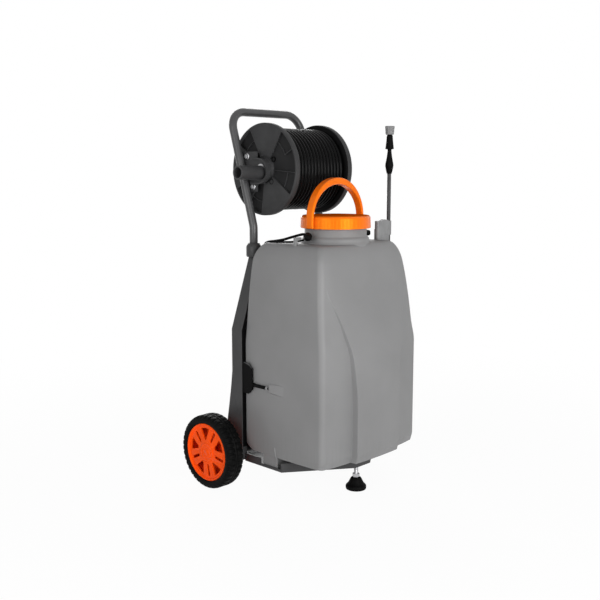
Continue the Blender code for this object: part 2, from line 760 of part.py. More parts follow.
def build_brackets(root):
    outline = eared_outline()
    inner = BRACKET_OUTER - BRACKET_WALL
    lip_end = BRACKET_OUTER + BRACKET_LIP_WIDTH
    beyond = lip_end + 0.02
    pocket = inset(bracket_outline(), BRACKET_LIP)
    pocket = [(a + 0.02 if a > BRACKET_HALF else a, b) for a, b in pocket]
    ear_low = REEL_Z - BOLT_DROP - EAR_HALF
    upright_clear = handle_y(ear_low) - 1.1 * HANDLE_RADIUS - RUN - REEL_Y
    past = BRACKET_REAR - REEL_Y + 0.02
    clear = box_outline(upright_clear, past, -2 * EAR_HALF, 2 * EAR_HALF)
    upper_ear = box_outline(-BRACKET_HALF, past, BRACKET_HALF - BRACKET_DROP, 2 * EAR_HALF)
    lower_ear = box_outline(-BRACKET_HALF, past, -2 * EAR_HALF, -BRACKET_HALF - BRACKET_DROP)
    place = Vector((0, REEL_Y, REEL_Z))
    for side_name, sign in (("left", -1), ("right", 1)):

        def span(low, high):
            return sorted((sign * low, sign * high))

        mesh = prism("bracket", outline, *span(inner, lip_end), "X")
        bracket = add("reel_bracket_" + side_name, mesh, "frame_grey", root, place)
        for shape in (pocket, clear, upper_ear, lower_ear):
            cut(bracket, prism("bracket_clear", shape, *span(BRACKET_OUTER, beyond), "X"), place)
        root_x = inner + 0.5 * BRACKET_WALL
        if sign > 0:
            fuse(bracket, rod("sleeve", SLEEVE_RADIUS, *span(root_x, SLEEVE_END), "X", 20), place)
            bore_end = SLEEVE_END + 0.02
        else:
            stub_at = place - Vector((0, 0, STUB_DROP))
            fuse(bracket, rod("stub", STUB_RADIUS, *span(root_x, SLEEVE_END), "X", 20), stub_at)
            cut(bracket, rod("stub_bore", STUB_BORE, *span(root_x, SLEEVE_END + 0.02), "X", 20), stub_at)
            bore_end = BRACKET_OUTER + RUN
        cut(bracket, rod("shaft_bore", SLEEVE_BORE, *span(inner - 0.02, bore_end), "X", 20), place)
        for level, height in (("upper", BOLT_SPACING / 2), ("lower", -BOLT_SPACING / 2)):
            bolt_z = REEL_Z - BOLT_DROP + height
            bolt_y = handle_y(bolt_z) - HANDLE_RADIUS - BOLT_RADIUS - BOLT_CLEAR
            head = rod("bolt", BOLT_RADIUS, *span(0, BOLT_HEAD), "X", 6)
            seat = (sign * (BRACKET_OUTER + SEAT), bolt_y, bolt_z)
            add("bracket_bolt_%s_%s" % (side_name, level), head, "steel", root, seat)
    inlet_top = REEL_Z - SLEEVE_RADIUS - SEAT
    length = INLET_LENGTH
    stub = [(0, -length), (0.0055, -length), (0.0070, -0.60 * length), (0.0060, -0.58 * length),
            (0.0095, -0.50 * length), (0.0095, 0), (0, 0)]
    add("swivel_inlet", turned("swivel_inlet", stub, 12), "brass", root, (INLET_X, REEL_Y, inlet_top))


def sector_recesses():
    """Wedges sunk into a flange's face, at angles clockwise from the top, leaving raised sectors between."""
    bm = bmesh.new()
    low = FLANGE_FACE - FLANGE_RECESS
    near = FLANGE_HUB + 0.006
    far = FLANGE_RADIUS - 0.005
    for start, end in FLANGE_RECESSES:
        wedge = arc(0, 0, far, 90 - end, 90 - start, 6) + arc(0, 0, near, 90 - start, 90 - end, 3)
        add_prism(bm, wedge, low, FLANGE_OUTER + 0.01, "X")
    return mesh_from(bm, "sector_recesses")


def winding_path():
    """Helix of the outer hose layer, straight for one diameter at both ends."""
    start = -HOSE_PITCH * HOSE_TURNS / 2
    points = []
    for k in range(HOSE_TURNS * HOSE_POINTS + 1):
        angle = 2 * pi * k / HOSE_POINTS
        across = start + HOSE_PITCH * k / HOSE_POINTS
        points.append(Vector((across, WINDING_RADIUS * cos(angle), WINDING_RADIUS * sin(angle))))
    slope = HOSE_PITCH / (2 * pi * WINDING_RADIUS)
    tangent = Vector((slope, 0, 1)).normalized() * 2 * HOSE_RADIUS
    return [points[0] - tangent] + points + [points[-1] + tangent]


def print_least_gap(path):
    """Print the least distance between turns of the hose, skin to skin."""
    least = 1.0
    for k, point in enumerate(path):
        for other in path[k + HOSE_POINTS // 2:]:
            least = min(least, (point - other).length)
    print("hose winding: least gap to itself %.2f mm" % (1000 * (least - 2 * HOSE_RADIUS)))


def build_reel(root):
    reel = group("reel_axis", (0, REEL_Y, REEL_Z), root)
    bore = SHAFT_RADIUS + SEAT
    hub_out = BRACKET_OUTER - BRACKET_WALL - RUN
    rim = FLANGE_RADIUS
    flange = [(bore, FLANGE_INNER), (rim - 0.002, FLANGE_INNER), (rim, FLANGE_INNER + 0.002),
              (rim, FLANGE_OUTER - 0.002), (rim - 0.002, FLANGE_OUTER), (FLANGE_HUB, FLANGE_FACE),
              (FLANGE_HUB - 0.003, hub_out), (bore, hub_out)]
    for side_name, sign in (("left", -1), ("right", 1)):
        holder = group("reel_%s_side" % side_name, (0, 0, 0), reel)
        holder.rotation_euler.z = 0 if sign > 0 else pi
        piece = add("reel_flange_" + side_name, turned("flange", flange, 32, "X"), "reel_grey", holder)
        cut(piece, sector_recesses())
    half = FLANGE_INNER - SEAT
    inner = DRUM_RADIUS - DRUM_WALL
    drum = [(inner, -half), (DRUM_RADIUS, -half), (DRUM_RADIUS, half), (inner, half)]
    add("reel_drum", turned("drum", drum, 24, "X"), "reel_grey", reel)
    under = DRUM_RADIUS + SEAT
    layers = WINDING_RADIUS * cos(pi / HOSE_POINTS) - HOSE_RADIUS - SEAT
    core = [(under, -half), (layers, -half), (layers, half), (under, half)]
    add("hose_inner_layers", turned("hose_inner_layers", core, 32, "X"), "rubber", reel)
    path = winding_path()
    print_least_gap(path)
    add("hose_winding", tube("hose_winding", [path], HOSE_RADIUS, 1), "rubber", reel)
    build_coupling(reel, path)
    shaft_left = -BRACKET_OUTER
    shaft = rod("reel_shaft", SHAFT_RADIUS, shaft_left, CRANK_X - SEAT, "X", 18)
    add("reel_shaft", shaft, "steel", reel)
    build_crank(reel)


def build_coupling(reel, path):
    """Brass coupling on the hose's free end, lying along the last turn."""
    way = (path[-1] - path[-2]).normalized()
    length = COUPLING_LENGTH
    profile = [(0, 0), (HOSE_RADIUS, 0), (COUPLING_RADIUS, 0.002), (COUPLING_RADIUS, 0.35 * length),
               (0.8 * COUPLING_RADIUS, 0.40 * length), (0.8 * COUPLING_RADIUS, 0.75 * length),
               (0.5 * COUPLING_RADIUS, length), (0, length)]
    mesh = turned("hose_coupling", profile, 10)
    coupling = add("hose_coupling", mesh, "brass", reel, path[-1] + way * SEAT)
    coupling.rotation_euler = way.to_track_quat("Z", "Y").to_euler()


def build_crank(reel):
    knob_at = CRANK_LENGTH
    outline = arc(0, 0, CRANK_HALF + 0.004, 60, 300, 8) + arc(knob_at, 0, CRANK_HALF, -90, 90, 6)
    arm_out = CRANK_X + CRANK_WALL
    arm = add("crank_arm", prism("crank_arm", outline, CRANK_X, arm_out, "X"), "frame_grey", reel)
    knob_low = arm_out + RUN
    pin_end = knob_low + KNOB_LENGTH - 0.006
    fuse(arm, rod("crank_pin", CRANK_PIN, CRANK_X + 0.5 * CRANK_WALL, pin_end, "X", 10), (0, knob_at, 0))
    knob = group("crank_knob_axis", (0, knob_at, 0), reel)
    bore = CRANK_PIN + RUN
    deep = pin_end + RUN
    high = knob_low + KNOB_LENGTH
    grip = [(bore, knob_low), (KNOB_RADIUS - 0.003, knob_low), (KNOB_RADIUS - 0.001, knob_low + 0.010),
            (KNOB_RADIUS, high - 0.022), (KNOB_RADIUS - 0.001, high - 0.006), (KNOB_RADIUS - 0.006, high),
            (0, high), (0, deep), (bore, deep)]
    add("crank_knob", closed_turned("crank_knob", grip, 12), "black_plastic", knob)


def closed_turned(name, profile, steps):
    """Turned piece with a blind bore, given as outline from the bore's mouth round to its end."""
    mouth = [p for p in profile if p[0]]
    outer = mouth[:-1]
    deep = profile[-2][1]
    high = profile[-3][1]
    return turned(name, [(0, high)] + outer[::-1] + [(mouth[-1][0], deep), (0, deep)], steps, "X")


# Tank

SHOULDER = [TANK_TOP - 0.047, TANK_TOP - 0.028, TANK_TOP - 0.013, TANK_TOP - 0.004, TANK_TOP]


def shrinking(size, low, shoulder):
    """Rows of (height, size) for an outline that is given by how far it draws in."""
    rows = [(z, size - drawn) for z, drawn in low]
    return rows + [(z, size - drawn) for z, drawn in zip(SHOULDER, shoulder)]


HALF_WIDTHS = shrinking(
    TANK_HALF, [(TANK_BELLY, 0.003), (0.130, 0), (0.390, 0), (0.440, 0.004), (0.520, 0.0105)],
    [0.0235, 0.030, 0.038, 0.046, 0.052])
FRONTS = shrinking(
    TANK_FRONT, [(TANK_BELLY, 0.005), (0.130, 0), (0.390, 0), (0.440, 0.007), (0.520, 0.0155)],
    [0.028, 0.0355, 0.0445, 0.053, 0.060])
REARS = shrinking(
    TANK_REAR,
    [(TANK_BELLY, 0.022), (0.110, 0.0145), (0.116, 0.005), (0.126, 0), (0.390, 0), (0.520, 0.003)],
    [0.005, 0.009, 0.017, 0.025, 0.031])
OUTER_LEVELS = [TANK_BELLY, 0.110, 0.116, 0.126, 0.250, 0.300, 0.345, 0.390, 0.430, 0.470, 0.510, 0.540,
                0.560] + SHOULDER
INNER_LEVELS = [SHOULDER[2], SHOULDER[0], 0.540, 0.470, 0.390, 0.250, 0.130]


def panel_shape(z):
    """Half-width and proudness of the front panel, which flares and fades upwards."""
    rise = min(1.0, max(0.0, (z - PANEL_STRAIGHT_TO) / (PANEL_FADES_AT - PANEL_STRAIGHT_TO)))
    return PANEL_HALF + PANEL_FLARE * rise ** 2.2, PANEL_PROUD * (1 - rise ** 1.3)


def tank_loop(z, half, front, rear, corners, panel, proud, crown):
    """One level of the tank in plan, from the middle of the rear round to the front and back."""
    behind, ahead = corners
    panel = min(panel, half - ahead - PANEL_STEP - 0.002)
    right = [(0, rear), (0.5 * (half - behind), rear)]
    right += arc(half - behind, rear - behind, behind, 90, 0, 3)
    right += arc(half - ahead, -front + ahead, ahead, 0, -90, 3)
    right += [(panel + PANEL_STEP, -front), (panel, -front - proud)]
    right += [(0.5 * panel, -front - proud - 0.7 * crown), (0, -front - proud - crown)]
    whole = right + [(-x, y) for x, y in right[-2:0:-1]]
    return [(x, y, z) for x, y in whole]


def neck_loop(z, radius, count):
    turns = [pi / 2 - 2 * pi * k / count for k in range(count)]
    return [(radius * cos(t), NECK_Y + radius * sin(t), z) for t in turns]


def skin_loop(z, wall):
    panel, proud = panel_shape(z)
    fade = proud / PANEL_PROUD
    corners = (TANK_REAR_CORNER, TANK_FRONT_CORNER)
    return tank_loop(z, interpolated(z, HALF_WIDTHS) - wall, interpolated(z, FRONTS) - wall,
                     interpolated(z, REARS) - wall, corners, panel - wall, proud, PANEL_CROWN * fade)


def well_loop(z, wall):
    corners = (WELL_CORNER, WELL_CORNER)
    return tank_loop(z, WELL_HALF - wall, WELL_FRONT - wall, WELL_REAR - wall, corners, PANEL_HALF, 0, 0)


def build_tank(root):
    outer = [well_loop(TANK_BOTTOM, 0), well_loop(TANK_BELLY, 0)]
    outer += [skin_loop(z, 0) for z in OUTER_LEVELS]
    count = len(outer[0])
    ring = TANK_TOP + NECK_RING_HEIGHT
    neck = [(TANK_TOP, NECK_RING_RADIUS), (ring, NECK_RING_RADIUS), (ring + 0.004, NECK_RADIUS),
            (NECK_TOP, NECK_RADIUS), (NECK_TOP, NECK_BORE), (NECK_LEDGE, NECK_BORE),
            (NECK_LEDGE, NECK_LEDGE_BORE), (TANK_TOP - TANK_WALL, NECK_LEDGE_BORE)]
    neck_loops = [neck_loop(z, r, count) for z, r in neck]
    floor = TANK_BELLY + TANK_WALL
    inner = [[(x, y, TANK_TOP - TANK_WALL) for x, y, z in skin_loop(SHOULDER[3], TANK_WALL)]]
    inner += [skin_loop(z, TANK_WALL) for z in INNER_LEVELS]
    inner += [skin_loop(floor, TANK_WALL), well_loop(floor, TANK_WALL)]
    inner += [well_loop(TANK_BOTTOM + TANK_WALL, TANK_WALL)]
    tank = add("tank", loft("tank", outer + neck_loops + inner), "tank_grey", root)
    fuse(tank, tie_boss(-1))
    fuse(tank, tie_boss(1))
    build_strainer(root)


def build_strainer(root):
    top = NECK_LEDGE + SEAT
    low = top - STRAINER_DEPTH
    out = 0.99 * NECK_LEDGE_BORE - 2 * RUN
    wall = STRAINER_WALL
    flange = 0.99 * NECK_BORE - RUN
    cup = [(0, low), (out - 0.006, low), (out - 0.004, low + 0.002), (out, top), (flange, top),
           (flange, top + wall), (out - wall, top + wall), (out - wall - 0.004, low + wall), (0, low + wall)]
    add("neck_strainer", turned("neck_strainer", cup, 20), "black_plastic", root, (0, NECK_Y, 0))


def build_lid(root):
    lid_axis = group("lid_axis", (0, NECK_Y, 0), root)
    top = LID_BOTTOM + LID_HEIGHT
    profile = [(0, top), (LID_RADIUS - 0.006, top), (LID_RADIUS - 0.002, top - 0.003),
               (LID_RADIUS, LID_BOTTOM + 0.002), (LID_RADIUS, LID_BOTTOM), (LID_SKIRT_BORE, LID_BOTTOM),
               (LID_SKIRT_BORE, LID_INNER_TOP), (0, LID_INNER_TOP)]
    lid = add("lid", turned("lid", profile, 32), "orange", lid_axis)
    pins = bmesh.new()
    for sign in (-1, 1):
        ends = sorted((sign * (LID_RADIUS - 0.005), sign * (BAIL_HALF - SEAT)))
        stem = [(0, ends[0]), (BAIL_PIN, ends[0]), (BAIL_PIN, ends[1]), (0, ends[1])]
        add_turned(pins, stem, 10, "X", (0, 0, BAIL_PIVOT))
    fuse(lid, mesh_from(pins, "bail_pins"))
    seal_low = NECK_TOP + SEAT
    seal_high = LID_INNER_TOP - SEAT
    seal_in = NECK_BORE + RUN
    seal_out = seal_in + GASKET_WALL
    seal = [(seal_in, seal_low), (seal_out, seal_low), (seal_out, seal_high), (seal_in, seal_high)]
    add("lid_gasket", turned("lid_gasket", seal, 24), "rubber", lid_axis)
    bail_axis = group("bail_axis", (0, NECK_Y, BAIL_PIVOT), root)
    spring = BAIL_SPRING - BAIL_PIVOT
    foot = LID_BOTTOM - BAIL_PIVOT
    crown = BAIL_TOP - BAIL_SPRING
    inside = BAIL_HALF - BAIL_LEG
    turns = [pi * k / 14 for k in range(15)]
    outer = [(BAIL_HALF * cos(t), spring + crown * sin(t)) for t in turns]
    inner = [(inside * cos(t), spring + (crown - BAIL_CROWN) * sin(t)) for t in reversed(turns)]
    outline = [(BAIL_HALF, foot)] + outer + [(-BAIL_HALF, foot), (-inside, foot)] + inner + [(inside, foot)]
    arch = prism("lid_bail", outline, -BAIL_DEPTH / 2, BAIL_DEPTH / 2, "Y")
    bail = add("lid_bail", arch, "orange", bail_axis)
    cut(bail, rod("bail_holes", BAIL_PIN + RUN, -2 * BAIL_HALF, 2 * BAIL_HALF, "X", 10))


# Pieces that hold the tank

def build_retainers(root):
    tip_z = TANK_TOP + TIP_LIFT + TIP_RADIUS
    tip_rear = TIP_Y + TIP_LENGTH / 2
    bar_top = CROSSBAR_HEIGHT + CROSSBAR_RADIUS + SEAT
    over = TANK_TOP + RUN + RETAINER_RADIUS
    wide = TIP_X + RETAINER_SPREAD
    long = TIP_LENGTH
    bends = [(RETAINER_START, CROSSBAR_Y, bar_top),
             (RETAINER_START, CROSSBAR_Y - RETAINER_LEAN, bar_top + 0.6 * long),
             (TIP_X, TANK_REAR + 1.2 * RETAINER_RADIUS, over - 2.2 * RETAINER_RADIUS),
             (wide, TANK_REAR - 0.70 * long, over + 0.1 * RETAINER_RADIUS),
             (wide, TANK_REAR - 2.1 * long, over + 0.1 * RETAINER_RADIUS),
             (TIP_X + 0.5 * TIP_RADIUS, tip_rear + 0.9 * long, 0.5 * (over + tip_z)),
             (TIP_X, tip_rear + 0.35 * long, tip_z)]
    right = smooth_path(bends, 3) + [(TIP_X, tip_rear + SEAT, tip_z)]
    half = TIP_LENGTH / 2
    profile = [(0, -half), (0.6 * TIP_RADIUS, -half), (TIP_RADIUS, 0.005 - half), (TIP_RADIUS, half - 0.002),
               (TIP_RADIUS - 0.002, half), (0, half)]
    for side_name, sign, points in (("left", -1, mirrored(right)), ("right", 1, right)):
        bar = tube("retainer_rod", [points], RETAINER_RADIUS, 2)
        add("retainer_rod_" + side_name, bar, "black_plastic", root)
        tip = turned("retainer_tip", profile, 14, "Y")
        add("retainer_tip_" + side_name, tip, "rubber", root, (sign * TIP_X, TIP_Y, tip_z))


def tie_lug(sign):
    """Lug plate that is welded to the front of a side channel."""
    rear = CHANNEL_FRONT + 0.6 * CHANNEL_WALL
    bevel = TIE_LUG_CHAMFER
    lug = [(rear, TIE_LUG_LOW), (rear, TIE_LUG_HIGH), (TIE_LUG_FRONT + bevel, TIE_LUG_HIGH),
           (TIE_LUG_FRONT, TIE_LUG_HIGH - bevel), (TIE_LUG_FRONT, TIE_LUG_LOW + bevel),
           (TIE_LUG_FRONT + bevel, TIE_LUG_LOW)]
    middle = sign * TIE_X
    return prism("tie_lug", lug, middle - TIE_LUG_WALL / 2, middle + TIE_LUG_WALL / 2, "X")


def tie_boss(sign):
    """Boss moulded on the tank's side wall, which the tie bolt pulls on."""
    rear = TIE_FRONT - SEAT
    front = rear - TIE_BOSS_LENGTH
    foot = box_outline(front - 0.010, rear, TIE_Z - TIE_BOSS_HALF, TIE_Z + TIE_BOSS_HALF)
    crown = box_outline(front, rear, TIE_Z - TIE_BOSS_HALF + 0.003, TIE_Z + TIE_BOSS_HALF - 0.003)
    levels = ((TANK_HALF - 0.5 * TANK_WALL, foot), (TANK_HALF + TIE_BOSS_STAND, crown))
    return loft("tie_boss", [[(sign * h, y, z) for y, z in loop] for h, loop in levels])


def build_ties(root):
    rear = TIE_LUG_FRONT - SEAT
    for side_name, sign in (("left", -1), ("right", 1)):
        place = (sign * TIE_X, 0, TIE_Z)
        screw = rod("tie_bolt", TIE_RADIUS, TIE_FRONT, rear, "Y", 8)
        bolt = add("tie_bolt_" + side_name, screw, "steel", root, place)
        nuts = bmesh.new()
        for start in (rear - SEAT - TIE_NUT_LENGTH, TIE_FRONT + 0.002):
            end = start + TIE_NUT_LENGTH
            ends = [(0, start), (TIE_NUT_RADIUS, start), (TIE_NUT_RADIUS, end), (0, end)]
            add_turned(nuts, ends, 6, "Y")
        fuse(bolt, mesh_from(nuts, "tie_nuts"), place)


def build_hook(root):
    low = TANK_TOP + SEAT
    reach = HOOK_X - TIP_X - TIP_RADIUS - RUN
    hook = [(-HOOK_HALF, -HOOK_DROP), (HOOK_HALF, 0), (HOOK_HALF, HOOK_HEIGHT - 0.008),
            (reach, HOOK_HEIGHT - 0.006),
            (reach, HOOK_HEIGHT), (-HOOK_HALF, HOOK_HEIGHT)]
    mesh = prism("hose_hook", hook, -HOOK_HALF, HOOK_HALF, "Y")
    add("hose_hook", mesh, "light_grey", root, (-HOOK_X, HOOK_Y, low))


# Lance and gun

def build_lance(root):
    lance = group("lance_axis", (LANCE_X, LANCE_Y, 0), root)
    low = LANCE_REST
    top = LANCE_GUN_TOP
    bore = LANCE_RADIUS + SEAT
    seat = top - 0.020
    stem = low - GUN_STEM_LENGTH
    wide = GUN_RADIUS
    gun = [(0, stem), (GUN_STEM, stem), (GUN_STEM, low), (wide - 0.0015, low), (wide - 0.001, low + 0.055),
           (wide - 0.0022, top - 0.055), (wide, top - 0.045), (wide, top - 0.015), (GUN_STEM, top),
           (bore, top), (bore, seat), (0, seat)]
    body = add("gun_body", turned("gun_body", gun, 14), "black_plastic", lance)
    pivot_z = top - TRIGGER_BELOW_TOP
    cheeks = bmesh.new()
    cheek_in = TRIGGER_HALF + RUN
    for low_y in (cheek_in, -cheek_in - TRIGGER_CHEEK):
        near = GUN_RADIUS - 0.006
        outline = rounded_box(near, TRIGGER_STAND + 0.007, pivot_z - 0.008, pivot_z + 0.008, 0.005, 2)
        add_prism(cheeks, outline, low_y, low_y + TRIGGER_CHEEK, "Y")
    fuse(body, mesh_from(cheeks, "trigger_cheeks"))
    wide = 2 * (cheek_in + TRIGGER_CHEEK)
    cut(body, rod("trigger_holes", TRIGGER_PIN + SEAT, -wide, wide, "Y", 8, (TRIGGER_STAND, 0, pivot_z)))
    build_trigger(lance, pivot_z, cheek_in)
    nozzle_foot = NOZZLE_FOOT
    tube_top = nozzle_foot + LANCE_SOCKET
    add("lance_tube", rod("lance_tube", LANCE_RADIUS, seat + SEAT, tube_top, steps=14), "steel", lance)
    build_nozzle(lance, nozzle_foot, bore)


def build_trigger(lance, pivot_z, cheek_in):
    axis = group("trigger_axis", (TRIGGER_STAND, 0, pivot_z), lance)
    lever = arc(0, 0, TRIGGER_BOSS, -20, 200, 6)
    long = TRIGGER_LENGTH
    lever += [(-0.03 * long, -0.29 * long), (0.04 * long, -0.6 * long), (0.08 * long, -long),
              (0.125 * long, -long), (0.095 * long, -0.6 * long), (0.04 * long, -0.29 * long)]
    mesh = prism("gun_trigger", lever, -TRIGGER_HALF, TRIGGER_HALF, "Y")
    trigger = add("gun_trigger", mesh, "black_plastic", axis)
    end = cheek_in + TRIGGER_CHEEK
    fuse(trigger, rod("trigger_pin", TRIGGER_PIN, -end, end, "Y", 8))


def build_nozzle(lance, foot, bore):
    long = NOZZLE_LENGTH
    wide = NOZZLE_RADIUS
    top = foot + long
    skirt = foot + 0.60 * long
    shoulder = top - NOZZLE_STUB_LENGTH
    socket = foot + LANCE_SOCKET + SEAT
    body = [(0, socket), (bore, socket), (bore, foot), (0.60 * wide, foot),
            (0.73 * wide, foot + 0.11 * long), (wide, foot + 0.20 * long), (wide, foot + 0.39 * long),
            (0.53 * wide, foot + 0.55 * long),
            (0.96 * wide, skirt), (0.82 * wide, skirt + 0.05 * long), (0.78 * wide, shoulder - 0.035 * long),
            (NOZZLE_STUB, shoulder), (NOZZLE_STUB, top), (0, top)]
    add("nozzle_body", turned("nozzle_body", body, 12), "black_plastic", lance)
    low = shoulder + SEAT
    high = LANCE_TIP
    deep = top + SEAT
    cap_bore = NOZZLE_STUB + SEAT
    cap = [(0, deep), (cap_bore, deep), (cap_bore, low), (CAP_RADIUS - 0.0015, low),
           (CAP_RADIUS, low + 0.004), (CAP_RADIUS, high - 0.004), (CAP_RADIUS - 0.0015, high),
           (0.4 * CAP_RADIUS, high),
           (0.23 * CAP_RADIUS, high - 0.003), (0, high - 0.003)]
    add("nozzle_cap", turned("nozzle_cap", cap, 16), "light_grey", lance)


def build_lance_holders(root):
    top = LANCE_REST - SEAT
    low = top - HOLSTER_HEIGHT
    wall = TANK_HALF + SEAT
    wide = HOLSTER_PLATE_HALF
    plate = box_outline(wall, wall + HOLSTER_PLATE, LANCE_Y - wide, LANCE_Y + wide)
    place = (LANCE_X, LANCE_Y, 0)
    holster = add("lance_holster", prism("holster", plate, low, top), "black_plastic", root)
    fuse(holster, rod("holster_ring", HOLSTER_RADIUS, low + 0.001, top - 0.001, steps=14), place)
    cut(holster, rod("holster_bore", GUN_STEM + RUN, low - 0.01, top + 0.01, steps=14), place)
    run_x = LANCE_X - CLIP_POST_X
    run_y = LANCE_Y - CLIP_POST_Y
    reach = hypot(run_x, run_y)
    base = TANK_TOP + SEAT
    post_at = (CLIP_POST_X, CLIP_POST_Y, 0)
    post = rod("clip_post", CLIP_POST_RADIUS, base, CLIP_TOP, steps=12)
    clip = add("lance_clip", post, "light_grey", root, post_at)
    clip.rotation_euler.z = atan2(run_y, run_x)
    arm_end = reach - 0.5 * CLIP_RING_RADIUS
    under = CLIP_TOP - CLIP_WEB
    arm = [(0, under), (0.35 * arm_end, under + 0.003), (0.7 * arm_end, under + 0.004),
           (arm_end, under + 0.001), (arm_end, CLIP_TOP - 0.003), (0.8 * arm_end, CLIP_TOP + 0.001),
           (0.55 * arm_end, CLIP_TOP + 0.003), (0.3 * arm_end, CLIP_TOP), (0, CLIP_TOP - 0.004)]
    fuse(clip, prism("clip_arm", arm, -CLIP_ARM_HALF, CLIP_ARM_HALF, "Y"), post_at)
    ring = rod("clip_ring", CLIP_RING_RADIUS, under, CLIP_TOP - 0.002, steps=14, at=(reach, 0, 0))
    fuse(clip, ring, post_at)
    hole = rod("clip_bore", LANCE_RADIUS + RUN, under - 0.02, CLIP_TOP + 0.02, steps=14, at=(reach, 0, 0))
    cut(clip, hole, post_at)


# Power box behind the tank

def build_power_box(root):
    outline = rounded_box(-BOX_HALF, BOX_HALF, BOX_BOTTOM, BOX_TOP, BOX_CORNER)
    within = BOX_HALF - BOX_WALL
    cavity = rounded_box(-within, within, BOX_BOTTOM + BOX_WALL, BOX_TOP - BOX_WALL, BOX_CORNER - BOX_WALL)
    shell = [(outline, BOX_FRONT), (outline, BOX_REAR), (cavity, BOX_REAR), (cavity, BOX_FRONT + BOX_WALL)]
    mesh = loft("power_box", [[(x, y, z) for x, z in loop] for loop, y in shell])
    add("power_box", mesh, "black_plastic", root)
    rim = COVER_FACE - 0.004
    inside = BOX_HALF - 0.004
    crown = rounded_box(-inside, inside, BOX_BOTTOM + 0.004, BOX_TOP - 0.004, BOX_CORNER - 0.004)
    plate = [(outline, COVER_FRONT), (outline, rim), (crown, COVER_FACE)]
    mesh = loft("power_box_cover", [[(x, y, z) for x, z in loop] for loop, y in plate])
    cover = add("power_box_cover", mesh, "black_plastic", root)
    reach = hypot(SWITCH_HALF_HEIGHT, COVER_DEPTH) + RUN
    window = box_outline(SWITCH_X - SWITCH_HALF_WIDTH - RUN, SWITCH_X + SWITCH_HALF_WIDTH + RUN,
                         SWITCH_Z - reach, SWITCH_Z + reach)
    cut(cover, prism("switch_window", window, COVER_FRONT - 0.01, COVER_FACE + 0.01, "Y"))
    spindle_hole = rod("spindle_hole", FLOW_SPINDLE + RUN, COVER_FRONT - 0.01, COVER_FACE + 0.01, "Y", 10)
    cut(cover, spindle_hole, (FLOW_X, 0, SWITCH_Z))
    build_controls(root)
    battery_low = BOX_BOTTOM + BOX_WALL + SEAT
    battery_front = BOX_FRONT + BOX_WALL + SEAT
    battery_left = BOX_WALL + SEAT - BOX_HALF + 0.010
    battery_right = battery_left + BATTERY_LENGTH
    case = rounded_box(battery_left, battery_right, battery_front, battery_front + BATTERY_DEPTH, 0.003, 1)
    add("battery", prism("battery", case, battery_low, battery_low + BATTERY_HEIGHT), "black_plastic", root)
    pump_y = BOX_FRONT + BOX_WALL + SEAT + PUMP_RADIUS
    wide = PUMP_RADIUS
    motor = 0.87 * wide
    back = -0.55 * PUMP_LENGTH
    front = 0.45 * PUMP_LENGTH
    step = 0.07 * PUMP_LENGTH
    pump = [(0, back), (0.33 * wide, back), (motor, 0.94 * back), (motor, step), (wide, 1.2 * step),
            (wide, 0.86 * front), (0.8 * wide, front), (0, front)]
    add("pump", turned("pump", pump, 12, "X"), "black_plastic", root, (0, pump_y, PUMP_Z))
    length = BOX_FRONT - TANK_REAR - 2 * SEAT
    collar = OUTLET_RADIUS + 0.004
    outlet = [(0, 0), (collar, 0), (collar, 0.25 * length), (OUTLET_RADIUS, 0.3 * length),
              (OUTLET_RADIUS, length), (0, length)]
    outlet_at = (OUTLET_X, TANK_REAR + SEAT, OUTLET_Z)
    add("tank_outlet", turned("tank_outlet", outlet, 14, "Y"), "black_plastic", root, outlet_at)


def build_controls(root):
    switch = group("switch_axis", (SWITCH_X, COVER_FACE - 0.002, SWITCH_Z), root)
    tilt = SWITCH_HALF_HEIGHT * sin(SWITCH_THROW)
    tall = SWITCH_HALF_HEIGHT
    rocker = [(-0.006, -tall), (0.004 - tilt, -tall), (0.004, 0), (0.004 + tilt, tall), (-0.006, tall)]
    mesh = prism("power_switch", rocker, -SWITCH_HALF_WIDTH, SWITCH_HALF_WIDTH, "X")
    add("power_switch", mesh, "orange", switch)
    flow = group("flow_axis", (FLOW_X, COVER_FACE, SWITCH_Z), root)
    knob = [(0, -COVER_DEPTH), (FLOW_SPINDLE, -COVER_DEPTH), (FLOW_SPINDLE, SEAT), (FLOW_RADIUS, SEAT),
            (FLOW_RADIUS, 0.005), (FLOW_RADIUS - 0.003, 0.016), (FLOW_RADIUS - 0.005, 0.017), (0, 0.017)]
    add("flow_knob", turned("flow_knob", knob, 14, "Y"), "black_plastic", flow)


def main():
    clear_scene()
    root = group("cart", (0, AXLE_Y, 0))
    build_wheels(root)
    build_axle(root)
    build_channels(root)
    build_crossbars(root)
    build_tray(root)
    build_foot(root)
    build_handle(root)
    build_brackets(root)
    build_reel(root)
    build_tank(root)
    build_lid(root)
    build_retainers(root)
    build_ties(root)
    build_hook(root)
    build_lance(root)
    build_lance_holders(root)
    build_power_box(root)


main()
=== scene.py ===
"""Looks of a wheeled sprayer cart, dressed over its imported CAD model."""

import json
from math import cos, hypot, pi, radians, sin, tau

import bmesh
import bpy
from mathutils import Matrix, Vector, noise


